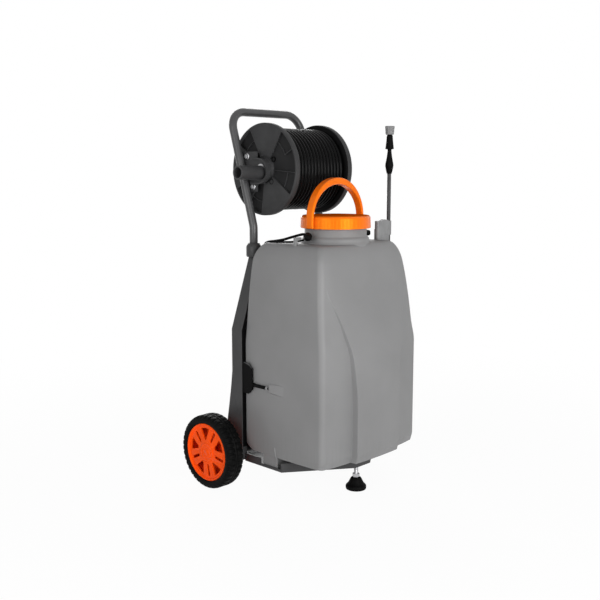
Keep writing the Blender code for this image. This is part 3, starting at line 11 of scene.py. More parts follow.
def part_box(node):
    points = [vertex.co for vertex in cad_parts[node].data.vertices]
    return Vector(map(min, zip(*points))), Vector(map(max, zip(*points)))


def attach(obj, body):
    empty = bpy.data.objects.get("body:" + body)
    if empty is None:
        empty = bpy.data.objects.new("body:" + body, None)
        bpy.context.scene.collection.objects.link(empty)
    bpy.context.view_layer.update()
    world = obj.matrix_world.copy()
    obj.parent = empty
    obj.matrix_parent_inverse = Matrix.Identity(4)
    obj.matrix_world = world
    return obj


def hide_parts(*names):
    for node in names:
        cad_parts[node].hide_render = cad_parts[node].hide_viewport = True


bl_info = {
    "name": "Sprayer cart",
    "version": (1, 0, 0),
    "blender": (4, 5, 0),
    "location": "3D View > Sidebar > Sprayer cart",
    "description": "Builds the visible pieces and finishes of a wheeled sprayer cart",
    "category": "Object",
}

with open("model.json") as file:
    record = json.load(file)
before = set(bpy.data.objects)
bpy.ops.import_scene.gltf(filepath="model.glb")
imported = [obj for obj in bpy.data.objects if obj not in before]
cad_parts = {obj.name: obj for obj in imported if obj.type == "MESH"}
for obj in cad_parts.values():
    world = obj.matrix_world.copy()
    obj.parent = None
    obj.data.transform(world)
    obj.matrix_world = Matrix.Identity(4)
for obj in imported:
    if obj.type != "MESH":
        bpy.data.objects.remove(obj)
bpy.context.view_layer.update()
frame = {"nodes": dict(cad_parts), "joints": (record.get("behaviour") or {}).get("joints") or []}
nodes = frame["nodes"]
joints = {joint["name"]: joint for joint in frame["joints"]}


def middle_of(node):
    """Centre of a CAD node's box."""
    low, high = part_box(node)
    return (low + high) / 2


def ends_of(node, axis):
    """Lowest and highest place of a CAD node along one axis."""
    return [getattr(corner, axis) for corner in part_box(node)]


AXLE = middle_of("axle")
REEL = Vector(joints["reel_spin"]["pos_m"])
LANCE = middle_of("lance_tube")
NECK = middle_of("lid_gasket")
FOOT = middle_of("foot_pad")
TANK_BELLY = 0.106
TANK_TOP = 0.661
SIDES = (("left", -1), ("right", 1))
POLE = 0.0005
WHITE = (1.0, 1.0, 1.0)


# Sizes and colours that a user would change

def length(name, description, default):
    return bpy.props.FloatProperty(name=name, description=description, default=default, min=0.0,
                                   unit="LENGTH", subtype="DISTANCE", precision=4)


def count(name, description, default):
    return bpy.props.IntProperty(name=name, description=description, default=default, min=1)


def colour(name, description, default):
    return bpy.props.FloatVectorProperty(name=name, description=description, default=default, size=3,
                                         min=0.0, max=1.0, subtype="COLOR")


def power(name, description, default):
    return bpy.props.FloatProperty(name=name, description=description, default=default, min=0.0,
                                   unit="POWER")


class CartSizes(bpy.types.PropertyGroup):
    edge: length("Edge rounding", "Rounding of moulded and folded edges", 0.0008)
    hose_radius: length("Hose radius", "Outer radius of the wound hose", 0.0057)
    hose_turns: count("Hose turns", "Turns in the outer layer on the reel", 14)
    tread_blocks: count("Tread blocks", "Blocks round each shoulder of a tyre", 40)
    tread_depth: length("Tread depth", "Depth of the grooves between tread blocks", 0.0030)
    rim_windows: count("Rim windows", "Tapered windows in each wheel's face", 5)
    panel_step: length("Panel step", "Width of the moulded step beside the tank's front panel", 0.0022)
    bail_depth: length("Bail depth", "Depth of the lid's carrying bail from front to back", 0.0235)


class CartColours(bpy.types.PropertyGroup):
    tank: colour("Tank", "Moulded tank", (0.200, 0.200, 0.201))
    orange: colour("Orange", "Lid, bail and switch", (0.84, 0.150, 0.006))
    rim: colour("Rims", "Moulded wheel rims", (0.92, 0.078, 0.005))
    frame: colour("Frame", "Powder coat of the frame", (0.034, 0.034, 0.035))
    tube: colour("Handle", "Coat of the handle tube", (0.048, 0.048, 0.049))
    pipe: colour("Lance", "Coat of the lance pipe", (0.060, 0.060, 0.061))
    reel: colour("Reel", "Moulded reel flanges", (0.036, 0.036, 0.037))
    hose: colour("Hose", "Wound hose", (0.0018, 0.0018, 0.0019))
    black: colour("Black parts", "Black moulded parts", (0.0020, 0.0020, 0.0021))
    rubber: colour("Rubber", "Tyres, foot and tips", (0.0022, 0.0022, 0.0022))
    pale: colour("Pale parts", "Light grey clip, hook and nozzle cap", (0.215, 0.216, 0.218))
    steel: colour("Steel", "Plated rods and bolts", (0.46, 0.46, 0.47))
    brass: colour("Brass", "Turned fittings", (0.62, 0.42, 0.16))


class CartStage(bpy.types.PropertyGroup):
    floor: colour("Floor", "Pale studio floor", (0.88, 0.88, 0.88))
    sky: bpy.props.FloatProperty(name="Sky", description="Strength of the even studio light", default=0.27,
                                 min=0.0)
    key: power("Key lamp", "Power of the main soft lamp", 52.0)
    fill: power("Fill lamp", "Power of the soft lamp at the other side", 25.0)
    back: power("Back lamp", "Power of the soft lamp behind the cart", 42.0)


# Shader expressions

class Wire:
    """A shader socket that takes part in Python expressions."""

    def __init__(self, graph, socket):
        self.graph = graph
        self.socket = socket

    def maths(self, operation, *values):
        return self.graph.node("ShaderNodeMath", {"operation": operation}, dict(enumerate(values)))

    def __add__(self, other):
        return self.maths("ADD", self, other)

    def __radd__(self, other):
        return self.maths("ADD", other, self)

    def __sub__(self, other):
        return self.maths("SUBTRACT", self, other)

    def __rsub__(self, other):
        return self.maths("SUBTRACT", other, self)

    def __mul__(self, other):
        return self.maths("MULTIPLY", self, other)

    def __rmul__(self, other):
        return self.maths("MULTIPLY", other, self)

    def clamped(self):
        return self.maths("MINIMUM", self.maths("MAXIMUM", self, 0.0), 1.0)

    def between(self, low, high):
        """0 below low, 1 above high, smooth in between."""
        inputs = {"Value": self, "From Min": low, "From Max": high}
        return self.graph.node("ShaderNodeMapRange", {"interpolation_type": "SMOOTHSTEP"}, inputs)


class Graph:
    """A node tree whose nodes are made and joined by one method."""

    def __init__(self, tree):
        self.tree = tree

    def node(self, kind, settings, inputs, output=0):
        made = self.tree.nodes.new(kind)
        for key, value in settings.items():
            setattr(made, key, value)
        for key, value in inputs.items():
            self.join(made.inputs[key], value)
        return Wire(self, made.outputs[output])

    def join(self, socket, value):
        if isinstance(value, Wire):
            self.tree.links.new(value.socket, socket)
        elif socket.type == "RGBA" and len(value) == 3:
            socket.default_value = (*value, 1.0)
        else:
            socket.default_value = value

    def seen(self):
        """1 for rays that show the background itself: camera, mirror and glass rays."""
        camera = self.node("ShaderNodeLightPath", {}, {}, "Is Camera Ray")
        glossy = Wire(self, camera.socket.node.outputs["Is Glossy Ray"])
        glass = Wire(self, camera.socket.node.outputs["Is Transmission Ray"])
        return (camera + glossy + glass).clamped()

    def show(self, factor, low, high, output):
        """Mix two shaders and put the result on the tree's output node."""
        both = self.node("ShaderNodeMixShader", {}, {0: factor, 1: low, 2: high})
        self.join(self.tree.nodes[output].inputs["Surface"], both)


class Finish(Graph):
    """A procedural material, written as expressions on its sockets."""

    def __init__(self, name):
        self.material = bpy.data.materials.new(name)
        self.material.use_nodes = True
        super().__init__(self.material.node_tree)
        self.shader = self.tree.nodes["Principled BSDF"]
        self.place = self.node("ShaderNodeTexCoord", {}, {}, "Object")

    def set(self, **values):
        """Set or link sockets of the Principled shader by plain name, as base_color or roughness."""
        for key, value in values.items():
            self.join(self.shader.inputs[key.replace("_", " ").title().replace("Ior", "IOR")], value)
        return self

    def scaled(self, x, y, z):
        return self.node("ShaderNodeVectorMath", {"operation": "MULTIPLY"}, {0: self.place, 1: (x, y, z)})

    def noise(self, scale, detail=3.0, rough=0.55, place=None):
        inputs = {"Vector": place or self.place, "Scale": scale, "Detail": detail, "Roughness": rough}
        return self.node("ShaderNodeTexNoise", {}, inputs, "Fac")

    def cells(self, scale, place=None):
        inputs = {"Vector": place or self.place, "Scale": scale}
        return self.node("ShaderNodeTexVoronoi", {}, inputs, "Distance")

    def height(self):
        return self.node("ShaderNodeSeparateXYZ", {}, {"Vector": self.place}, "Z")

    def mix(self, low, high, factor):
        return self.node("ShaderNodeMix", {"data_type": "RGBA"}, {0: factor, 6: low, 7: high}, 2)

    def bump(self, height, depth, strength=1.0):
        inputs = {"Height": height, "Distance": depth, "Strength": strength}
        self.join(self.shader.inputs["Normal"], self.node("ShaderNodeBump", {}, inputs))
        return self


def shade(value, factor):
    """A colour made darker or lighter."""
    return tuple(min(1.0, channel * factor) for channel in value)


def tank_finish(colours):
    """Satin blow-moulded plastic: soft mottling, fine grain, faint handling scuffs, and painted shade that
    darkens it towards the bottom in vertical streaks.
    """
    f = Finish("moulded_tank")
    cloud = f.noise(5.0, 3.0)
    grain = f.noise(900.0, 2.0)
    peel = f.noise(120.0, 2.0)
    streaks = f.noise(9.0, 4.0, 0.6, f.scaled(18.0, 18.0, 1.2))
    scuffs = f.noise(60.0, 5.0, 0.7, f.scaled(1.0, 1.0, 3.0)).between(0.66, 0.72)
    tone = f.mix(shade(colours.tank, 0.95), shade(colours.tank, 1.05), cloud.between(0.3, 0.7))
    tone = f.mix(tone, shade(colours.tank, 1.18), scuffs * 0.22)
    # Painted shade: the tank is made darker towards its bottom, in vertical streaks.
    dust_and_low_shade = (1.0 - f.height().between(0.10, 0.22)) * streaks.between(0.45, 0.75)
    tone = f.mix(tone, shade(colours.tank, 0.80), dust_and_low_shade * 0.35)
    f.set(base_color=tone, roughness=0.42 + cloud * 0.10 + scuffs * 0.15, specular_ior_level=0.30)
    return f.bump(peel * 0.7 + grain * 0.3, 0.00012, 0.6)


def orange_finish(name, tone, gloss):
    """Bright moulded plastic with a little sink and flow in its colour."""
    f = Finish(name)
    flow = f.noise(22.0, 2.0, 0.5, f.scaled(1.0, 1.0, 0.4))
    speck = f.noise(420.0, 2.0)
    rub = f.noise(75.0, 4.0, 0.65).between(0.63, 0.71)
    base = f.mix(shade(tone, 0.93), shade(tone, 1.04), flow.between(0.3, 0.7))
    base = f.mix(base, (1.0, 0.24, 0.03), rub * 0.20)
    f.set(base_color=base, roughness=0.24 + rub * 0.14 + flow * 0.05, specular_ior_level=gloss,
          specular_tint=(1.0, 0.75, 0.05, 1.0))
    return f.bump(speck * 0.35 + flow, 0.00015, 0.35)


def coat_finish(name, tone, pale, rough, gloss):
    """Powder coat with its orange-peel skin and a few rubbed spots."""
    f = Finish(name)
    peel = f.cells(700.0)
    cloud = f.noise(14.0, 3.0)
    rub = f.noise(85.0, 5.0, 0.7).between(0.68, 0.74)
    base = f.mix(shade(tone, 0.88), shade(tone, 1.14), cloud.between(0.3, 0.7))
    base = f.mix(base, pale, rub * 0.35)
    f.set(base_color=base, roughness=rough + cloud * 0.10 + rub * 0.12, specular_ior_level=gloss)
    return f.bump(peel, 0.00008, 0.5)


def moulded_finish(name, tone, rough, gloss):
    """Moulded plastic with a spark-eroded grain."""
    f = Finish(name)
    grain = f.noise(650.0, 3.0)
    cloud = f.noise(18.0, 3.0)
    rub = f.noise(95.0, 5.0, 0.7).between(0.67, 0.73)
    base = f.mix(shade(tone, 0.85), shade(tone, 1.15), cloud.between(0.3, 0.7))
    base = f.mix(base, shade(tone, 1.9), rub * 0.30)
    f.set(base_color=base, roughness=rough + cloud * 0.12 + rub * 0.10, specular_ior_level=gloss)
    return f.bump(grain, 0.00010, 0.5)


def rubber_finish(colours):
    """Matt rubber with patches of pale dust."""
    f = Finish("tyre_rubber")
    grain = f.noise(380.0, 4.0, 0.65)
    dust_and_low_shade = f.noise(45.0, 4.0, 0.6).between(0.50, 0.74)
    base = f.mix(colours.rubber, (0.016, 0.015, 0.014), dust_and_low_shade * 0.45)
    f.set(base_color=base, roughness=0.55 + dust_and_low_shade * 0.22, specular_ior_level=0.05)
    return f.bump(grain, 0.00025, 0.6)


def hose_finish(colours):
    """Satin black hose with faint extrusion lines."""
    f = Finish("hose_rubber")
    lines = f.noise(240.0, 2.0, 0.5, f.scaled(6.0, 0.4, 0.4))
    dust_and_low_shade = f.noise(38.0, 4.0, 0.6).between(0.55, 0.80)
    base = f.mix(colours.hose, (0.012, 0.012, 0.0115), dust_and_low_shade * 0.4)
    f.set(base_color=base, roughness=0.24 + lines * 0.10 + dust_and_low_shade * 0.15, specular_ior_level=0.07)
    return f.bump(lines, 0.00012, 0.4)


def steel_finish(colours):
    """Zinc-plated steel with fine turning lines and dull patches."""
    f = Finish("plated_steel")
    lines = f.noise(900.0, 2.0, 0.5, f.scaled(1.0, 1.0, 0.08))
    patch = f.noise(60.0, 4.0, 0.6).between(0.4, 0.75)
    base = f.mix(colours.steel, shade(colours.steel, 0.62), patch * 0.6)
    f.set(base_color=base, metallic=1.0, roughness=0.32 + patch * 0.18 + lines * 0.06)
    return f.bump(lines, 0.00006, 0.4)


def brass_finish(colours):
    """Turned brass, slightly tarnished."""
    f = Finish("turned_brass")
    lines = f.noise(1100.0, 2.0, 0.5, f.scaled(1.0, 1.0, 0.05))
    patch = f.noise(80.0, 4.0, 0.6).between(0.4, 0.8)
    base = f.mix(colours.brass, shade(colours.brass, 0.5), patch * 0.5)
    f.set(base_color=base, metallic=1.0, roughness=0.26 + patch * 0.2)
    return f.bump(lines, 0.00005, 0.4)


def finish(name):
    """The named material, made the first time that it is asked for."""
    colours = bpy.context.scene.cart_colours
    makers = {
        "moulded_tank": lambda: tank_finish(colours),
        "orange_moulding": lambda: orange_finish("orange_moulding", colours.orange, 0.40),
        # Painted shade: a darker, matt copy of the orange for the lid's upward-facing top.
        "orange_matt": lambda: orange_finish("orange_matt", shade(colours.orange, 0.85), 0.0),
        "rim_moulding": lambda: orange_finish("rim_moulding", colours.rim, 0.12),
        "frame_coat": lambda: coat_finish("frame_coat", colours.frame, (0.09, 0.09, 0.09), 0.42, 0.30),
        "tube_coat": lambda: coat_finish("tube_coat", colours.tube, (0.16, 0.16, 0.16), 0.30, 0.45),
        "pipe_coat": lambda: coat_finish("pipe_coat", colours.pipe, (0.20, 0.20, 0.20), 0.36, 0.20),
        "reel_moulding": lambda: moulded_finish("reel_moulding", colours.reel, 0.45, 0.16),
        # Painted shade: a much darker copy of the reel's plastic for the recess floors.
        "reel_recess": lambda: moulded_finish("reel_recess", shade(colours.reel, 0.45), 0.55, 0.10),
        "black_moulding": lambda: moulded_finish("black_moulding", colours.black, 0.45, 0.05),
        "pale_moulding": lambda: moulded_finish("pale_moulding", colours.pale, 0.42, 0.35),
        "tyre_rubber": lambda: rubber_finish(colours),
        "hose_rubber": lambda: hose_finish(colours),
        "plated_steel": lambda: steel_finish(colours),
        "turned_brass": lambda: brass_finish(colours),
    }
    found = bpy.data.materials.get(name)
    return found or makers[name]().material


# Meshes

def along(axis, a, b, h):
    """A point at height h along an axis, and at a and b across it."""
    return Vector({"X": (h, a, b), "Y": (a, h, b), "Z": (a, b, h)}[axis])


def closed_mesh(bm, name):
    """A smooth mesh from a bmesh, with its doubled points joined and its faces turned outwards."""
    bmesh.ops.remove_doubles(bm, verts=bm.verts, dist=1e-6)
    bmesh.ops.recalc_face_normals(bm, faces=bm.faces)
    mesh = bpy.data.meshes.new(name)
    bm.to_mesh(mesh)
    bm.free()
    mesh.shade_smooth()
    return mesh


def skin(bm, rings, closed=False, caps=True):
    """Join rings of points of equal count with quads."""
    made = [[bm.verts.new(point) for point in ring] for ring in rings]
    pairs = list(zip(made, made[1:] + made[:1])) if closed else list(zip(made, made[1:]))
    for low, high in pairs:
        for k in range(len(low)):
            after = (k + 1) % len(low)
            bm.faces.new((low[k], low[after], high[after], high[k]))
    if caps and not closed:
        bm.faces.new(made[0])
        bm.faces.new(made[-1])


def spun(name, profile, steps, axis="Z", at=(0, 0, 0), shape=None, closed=False):
    """Turn (radius, height) points round an axis through a point. A solid one ends at POLE, next to it."""
    bm = bmesh.new()
    rings = []
    for radius, height in profile:
        ring = []
        for k in range(steps):
            angle = tau * k / steps
            reach = shape(radius, height, angle) if shape else radius
            ring.append(along(axis, reach * cos(angle), reach * sin(angle), height) + Vector(at))
        rings.append(ring)
    skin(bm, rings, closed=closed)
    return closed_mesh(bm, name)


def swept(name, path, radius, sides, ends=0.0015):
    """Round bar along a path, with softly rounded ends."""
    points = [Vector(p) for p in path]
    first = (points[1] - points[0]).normalized()
    last = (points[-1] - points[-2]).normalized()
    stations = [(points[0], radius - ends), (points[0] + first * ends, radius)]
    stations += [(p, radius) for p in points[1:-1]]
    stations += [(points[-1] - last * ends, radius), (points[-1], radius - ends)]
    normal = first.orthogonal().normalized()
    heading = first
    rings = []
    for k, (point, reach) in enumerate(stations):
        before = stations[max(0, k - 1)][0]
        after = stations[min(len(stations) - 1, k + 1)][0]
        new_heading = (after - before).normalized()
        normal = (heading.rotation_difference(new_heading) @ normal).normalized()
        normal = (normal - new_heading * normal.dot(new_heading)).normalized()
        heading = new_heading
        across = heading.cross(normal)
        rings.append([point + (normal * cos(tau * j / sides) + across * sin(tau * j / sides)) * reach
                      for j in range(sides)])
    bm = bmesh.new()
    skin(bm, rings)
    return closed_mesh(bm, name)


def slab(name, outline, low, high, axis="Z", at=(0, 0, 0)):
    """A flat outline drawn out along an axis."""
    bm = bmesh.new()
    skin(bm, [[along(axis, a, b, h) + Vector(at) for a, b in outline] for h in (low, high)])
    return closed_mesh(bm, name)


def plate(name, outlines, thickness, edge, turn, at):
    """A flat plate with holes and rounded edges: the first outline is its rim."""
    curve = bpy.data.curves.new(name, "CURVE")
    curve.dimensions = "2D"
    curve.fill_mode = "BOTH"
    curve.extrude = thickness / 2 - edge
    curve.bevel_depth = edge
    curve.bevel_resolution = 2
    curve.offset = -edge
    for outline in outlines:
        spline = curve.splines.new("POLY")
        spline.points.add(len(outline) - 1)
        spline.use_cyclic_u = True
        for point, (a, b) in zip(spline.points, outline):
            point.co = (a, b, 0.0, 1.0)
    holder = bpy.data.objects.new(name, curve)
    bpy.context.scene.collection.objects.link(holder)
    bpy.context.view_layer.update()
    mesh = bpy.data.meshes.new_from_object(holder.evaluated_get(bpy.context.evaluated_depsgraph_get()))
    bpy.data.objects.remove(holder)
    bpy.data.curves.remove(curve)
    mesh.transform(Matrix.Translation(Vector(at)) @ turn)
    mesh.shade_smooth()
    mesh.set_sharp_from_angle(angle=radians(40))
    return mesh


def arc(a, b, radius, start, end, steps):
    """Points round a centre between two angles in degrees."""
    turns = [radians(start + (end - start) * k / steps) for k in range(steps + 1)]
    return [(a + radius * cos(t), b + radius * sin(t)) for t in turns]


def hexagon(radius):
    return [(radius * cos(tau * k / 6), radius * sin(tau * k / 6)) for k in range(6)]


def sided(profile, side):
    """A (radius, height) profile along X, turned to the left or right side of the cart."""
    return [(radius, side * height) for radius, height in profile]


def turned(outline, angle):
    """An outline of (reach, offset) points, turned to an angle from the axis."""
    return [(r * cos(angle) - w * sin(angle), r * sin(angle) + w * cos(angle)) for r, w in outline]


def rounded(outline, radius, steps=4):
    """Round the corners of a closed outline."""
    done = []
    for k, corner in enumerate(outline):
        here = Vector(corner)
        before = Vector(outline[k - 1])
        after = Vector(outline[(k + 1) % len(outline)])
        reach = min(radius, 0.45 * (before - here).length, 0.45 * (after - here).length)
        start = here + (before - here).normalized() * reach
        end = here + (after - here).normalized() * reach
        for j in range(steps + 1):
            t = j / steps
            done.append(tuple(start * (1 - t) ** 2 + here * 2 * t * (1 - t) + end * t * t))
    return done


def filleted(points, radius, steps):
    """Straight runs joined by arcs, as a bent tube has."""
    corners = [Vector(p) for p in points]
    path = [corners[0]]
    for before, corner, after in zip(corners, corners[1:], corners[2:]):
        into = (corner - before).normalized()
        out = (after - corner).normalized()
        half = into.angle(out) / 2
        setback = radius * sin(half) / cos(half)
        centre = corner + (out - into).normalized() * (radius / cos(half))
        start = (corner - into * setback - centre).normalized()
        end = (corner + out * setback - centre).normalized()
        path += [centre + start.slerp(end, k / steps) * radius for k in range(steps + 1)]
    return path + [corners[-1]]


def smooth_path(points, steps):
    """A smooth curve through points."""
    knots = [Vector(p) for p in points]
    knots = [2 * knots[0] - knots[1]] + knots + [2 * knots[-1] - knots[-2]]
    path = []
    for a, b, c, d in zip(knots, knots[1:], knots[2:], knots[3:]):
        for k in range(steps):
            t = k / steps
            path.append(0.5 * (2 * b + (c - a) * t + (2 * a - 5 * b + 4 * c - d) * t ** 2
                               + (3 * b - a - 3 * c + d) * t ** 3))
    return path + [knots[-2]]


def thread(name, radius, low, high, pitch, at, axis="Z", depth=0.0005):
    """Rod with a turned thread along it."""
    profile = [(radius - depth, low)]
    rows = int((high - low) / pitch)
    for k in range(rows):
        base = low + pitch * k
        profile += [(radius - depth, base + 0.1 * pitch), (radius, base + 0.45 * pitch),
                    (radius, base + 0.6 * pitch), (radius - depth, base + 0.95 * pitch)]
    profile.append((radius - depth, high))
    return spun(name, profile, 24, axis, at)


# Pieces

def soften(piece, width, segments=3, angle=32):
    """Round a piece's edges that are sharper than an angle in degrees."""
    bevel = piece.modifiers.new("rounded_edges", "BEVEL")
    bevel.width = width
    bevel.segments = segments
    bevel.limit_method = "ANGLE"
    bevel.angle_limit = radians(angle)
    bevel.harden_normals = True
    return piece


def add(name, mesh, material, body, *stands_for, edge=0.0, slot=None):
    """Put a new piece on a body, in place of the CAD nodes that it stands for."""
    piece = bpy.data.objects.new(name, mesh)
    bpy.context.scene.collection.objects.link(piece)
    mesh.materials.clear()
    mesh.materials.append(finish(material))
    if edge:
        soften(piece, edge)
    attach(piece, body)
    if stands_for:
        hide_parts(*stands_for)
    return piece


def dress(node, material, edge=0.0):
    """Give a CAD node its finish, with its edges softened."""
    piece = nodes[node]
    mesh = piece.data
    if "custom_normal" in mesh.attributes:
        mesh.attributes.remove(mesh.attributes["custom_normal"])
    mesh.shade_smooth()
    mesh.materials.clear()
    mesh.materials.append(finish(material))
    weld = piece.modifiers.new("joined_facets", "WELD")
    weld.merge_threshold = 0.00001
    if edge:
        soften(piece, edge, 2)
    else:
        split = piece.modifiers.new("sharp_edges", "EDGE_SPLIT")
        split.split_angle = radians(32)
    return piece


# Tank

HALF_WIDTHS = [(TANK_BELLY, 0.1885), (0.130, 0.190), (0.390, 0.190), (0.440, 0.186), (0.520, 0.1795),
               (0.614, 0.1665), (0.633, 0.161), (0.648, 0.154), (0.657, 0.147), (TANK_TOP, 0.141)]
FRONTS = [(TANK_BELLY, 0.346), (0.130, 0.351), (0.390, 0.351), (0.440, 0.344), (0.520, 0.3355),
          (0.614, 0.323), (0.633, 0.3180), (0.648, 0.3115), (0.657, 0.3055), (TANK_TOP, 0.3005)]
REARS = [(TANK_BELLY, -0.0828), (0.110, -0.0753), (0.116, -0.0658), (0.126, -0.0608), (0.390, -0.0608),
         (0.520, -0.0638), (0.614, -0.0658), (0.633, -0.0698), (0.648, -0.0778), (0.657, -0.0858),
         (TANK_TOP, -0.0918)]
PANEL_PROUD = 0.0175
PANEL_HALF = 0.0845
PANEL_FLARE = 0.0785
FADE_START = 0.250
FADE_RUN = 0.310
STEP_ROUNDING = 0.16
FLANK_BULGE = 0.003
CHEEK_SWEEP = 0.008
WELL_HALF = 0.1883
WELL_FRONT = 0.181
WELL_REAR = -0.126
NECK_BORE = 0.068


def interpolated(z, table):
    """Smooth curve through (height, value) rows that never overshoots them."""
    slopes = [(b[1] - a[1]) / (b[0] - a[0]) for a, b in zip(table, table[1:])]
    tangents = [slopes[0]]
    for left, right in zip(slopes, slopes[1:]):
        tangents.append(2 * left * right / (left + right) if left * right > 0 else 0.0)
    tangents.append(slopes[-1])
    for k, (a, b) in enumerate(zip(table, table[1:])):
        if z <= b[0]:
            break
    span = b[0] - a[0]
    t = (z - a[0]) / span
    return (a[1] * (1 + 2 * t) * (1 - t) ** 2 + tangents[k] * span * t * (1 - t) ** 2
            + b[1] * t * t * (3 - 2 * t) + tangents[k + 1] * span * t * t * (t - 1))


def panel_shape(z):
    """Half-width and proudness of the front panel, which flares and fades upwards."""
    rise = min(1.0, max(0.0, (z - FADE_START) / FADE_RUN))
    return PANEL_HALF + PANEL_FLARE * rise ** 2.2, PANEL_PROUD * (1 - rise ** 1.3)


def step_height(t):
    """Straight ramp from 0 to 1 with a small rounding at both ends."""
    ease = STEP_ROUNDING
    if t < ease:
        return t * t / (2 * ease * (1 - ease))
    if t > 1 - ease:
        return 1 - (1 - t) ** 2 / (2 * ease * (1 - ease))
    return (t - ease / 2) / (1 - ease)


def tank_outline(half, front, rear, corners, panel, proud, bulge, sweep, step):
    """One level of the tank in plan, from the middle of the rear round to the front and back."""
    behind, ahead = corners
    edge = half - ahead
    panel = min(panel, edge - step - 0.004)

    def face(x):
        """The front face, whose cheeks sweep back towards the corners."""
        return sweep * max(0.0, (x - 0.5 * edge) / (0.5 * edge)) ** 2 - front

    right = [(0, rear), (0.5 * (half - behind), rear)]
    right += arc(half - behind, rear - behind, behind, 90, 0, 8)
    for k in range(1, 12):
        t = k / 12
        right.append((half + bulge * sin(pi * t), (rear - behind) * (1 - t) + (ahead + face(edge)) * t))
    right += arc(edge, ahead + face(edge), ahead, 0, -90, 8)
    foot = panel + step + 0.002
    cheek = [edge * (1 - t) + foot * t for t in (0.1, 0.3, 0.5, 0.7, 0.85, 1.0)]
    right += [(x, face(x)) for x in cheek]
    for t in (0.0, 0.06, 0.16, 0.33, 0.5, 0.67, 0.84, 0.94, 1.0):
        x = panel + step * (1 - t)
        right.append((x, face(x) - proud * step_height(t)))
    crown = 0.003 * proud / PANEL_PROUD
    for t in (0.02, 0.10, 0.2, 0.3, 0.45, 0.6, 0.8, 1.0):
        x = panel * (1 - t)
        right.append((x, face(x) - proud - crown * (1 - (1 - t) ** 2)))
    return right + [(-x, y) for x, y in right[-2:0:-1]]


def skin_loop(z, step):
    """One level of the tank's outside, with its panel."""
    panel, proud = panel_shape(z)
    outline = tank_outline(interpolated(z, HALF_WIDTHS), interpolated(z, FRONTS), interpolated(z, REARS),
                           (0.007, 0.016), panel, proud, FLANK_BULGE, CHEEK_SWEEP, step)
    return [(x, y + AXLE.y, z) for x, y in outline]


def well_loop(z, step):
    """One level of the narrower well under the belly, which is flat all round."""
    outline = tank_outline(WELL_HALF, WELL_FRONT, WELL_REAR, (0.005, 0.005), PANEL_HALF, 0, 0, 0, step)
    return [(x, y + AXLE.y, z) for x, y in outline]


def neck_loop(z, radius, steps):
    """A ring in the neck with as many points as the levels below it."""
    turns = [pi / 2 - tau * k / steps for k in range(steps)]
    return [(radius * cos(t), NECK.y + radius * sin(t), z) for t in turns]


def tank_mesh(step):
    """The tank's skin from the foot of its well up to the shoulders, and down inside the neck."""
    levels = [TANK_BELLY, 0.108, 0.112, 0.118, 0.124] + [0.130 + 0.010 * k for k in range(50)]
    levels += [0.626, 0.632, 0.638, 0.643, 0.647, 0.651, 0.654, 0.6565, 0.6585, 0.660, TANK_TOP]
    rings = [well_loop(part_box("tank")[0].z, step), well_loop(TANK_BELLY, step)]
    rings += [skin_loop(z, step) for z in levels]
    steps = len(rings[0])
    rings += [neck_loop(z, NECK_BORE + 0.001, steps) for z in (TANK_TOP, 0.604)]
    bm = bmesh.new()
    skin(bm, rings)
    return closed_mesh(bm, "tank_shell")


def neck_mesh():
    """Neck with its stiffening ring, flaring into the tank's shoulders."""
    profile = [(NECK_BORE, 0.640), (0.0960, 0.640), (0.0940, 0.6560), (0.0915, 0.6618), (0.0898, 0.6650),
               (0.0888, 0.6690), (0.0882, 0.6735), (0.0870, 0.6752), (0.0830, 0.6787), (0.0821, 0.6802),
               (0.0820, 0.7205), (0.0808, 0.722), (0.0750, 0.722), (0.0740, 0.7205), (0.0740, 0.7003),
               (NECK_BORE, 0.7000)]
    return spun("tank_neck", profile, 128, "Z", (0, NECK.y, 0), closed=True)


def tie_boss(name, side):
    """Moulded boss that the tie bolt passes, stepped out from the tank's flank."""
    tie = middle_of("tie_bolt_" + name)
    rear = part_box("tie_bolt_" + name)[0].y - 0.0003
    levels = []
    for x, run, half in ((0.1880, 0.080, 0.0170), (0.1935, 0.048, 0.0140), (0.1962, 0.020, 0.0110),
                         (0.1974, 0.008, 0.0095)):
        loop = [(rear - run, tie.z - half), (rear, tie.z - half), (rear, tie.z + half),
                (rear - run, tie.z + half)]
        levels.append([(side * x, y, z) for y, z in loop])
    bm = bmesh.new()
    skin(bm, levels)
    add("tie_boss_" + name, closed_mesh(bm, "tie_boss"), "moulded_tank", "cart", edge=0.0018)


def well_bead(name, side):
    """Raised bead down the corner between the tank's belly and its well."""
    bead = [(0.1920, 0.1755, 0.1325), (0.1918, 0.1765, 0.122), (0.1905, 0.1775, 0.110),
            (0.1875, 0.1795, 0.100), (0.1868, 0.1800, 0.082)]
    bead = [(side * x, AXLE.y - forward, z) for x, forward, z in bead]
    add("well_bead_" + name, swept("well_bead", smooth_path(bead, 4), 0.0024, 12), "moulded_tank", "cart")


class CART_OT_tank(bpy.types.Operator):
    """Mould the tank with its sweeping front panel, shoulders, neck and tie bosses"""
    bl_idname = "cart.tank"
    bl_label = "Tank"

    def execute(self, context):
        sizes = context.scene.cart_sizes
        shell = add("tank_shell", tank_mesh(sizes.panel_step), "moulded_tank", "cart", "tank")
        soften(shell, 0.0022, 3, 38)
        soften(add("tank_neck", neck_mesh(), "moulded_tank", "cart"), 0.0006, 2, 40)
        for name, side in SIDES:
            tie_boss(name, side)
            well_bead(name, side)
        dress("neck_strainer", "black_moulding")
        return {"FINISHED"}


# Lid

BAIL_PIVOT = 0.712
BAIL_HALF = 0.1025
BAIL_INSIDE = 0.0945
BAIL_FOOT = 0.7005
BAIL_SPRING = 0.725
LID_RIBS = 48


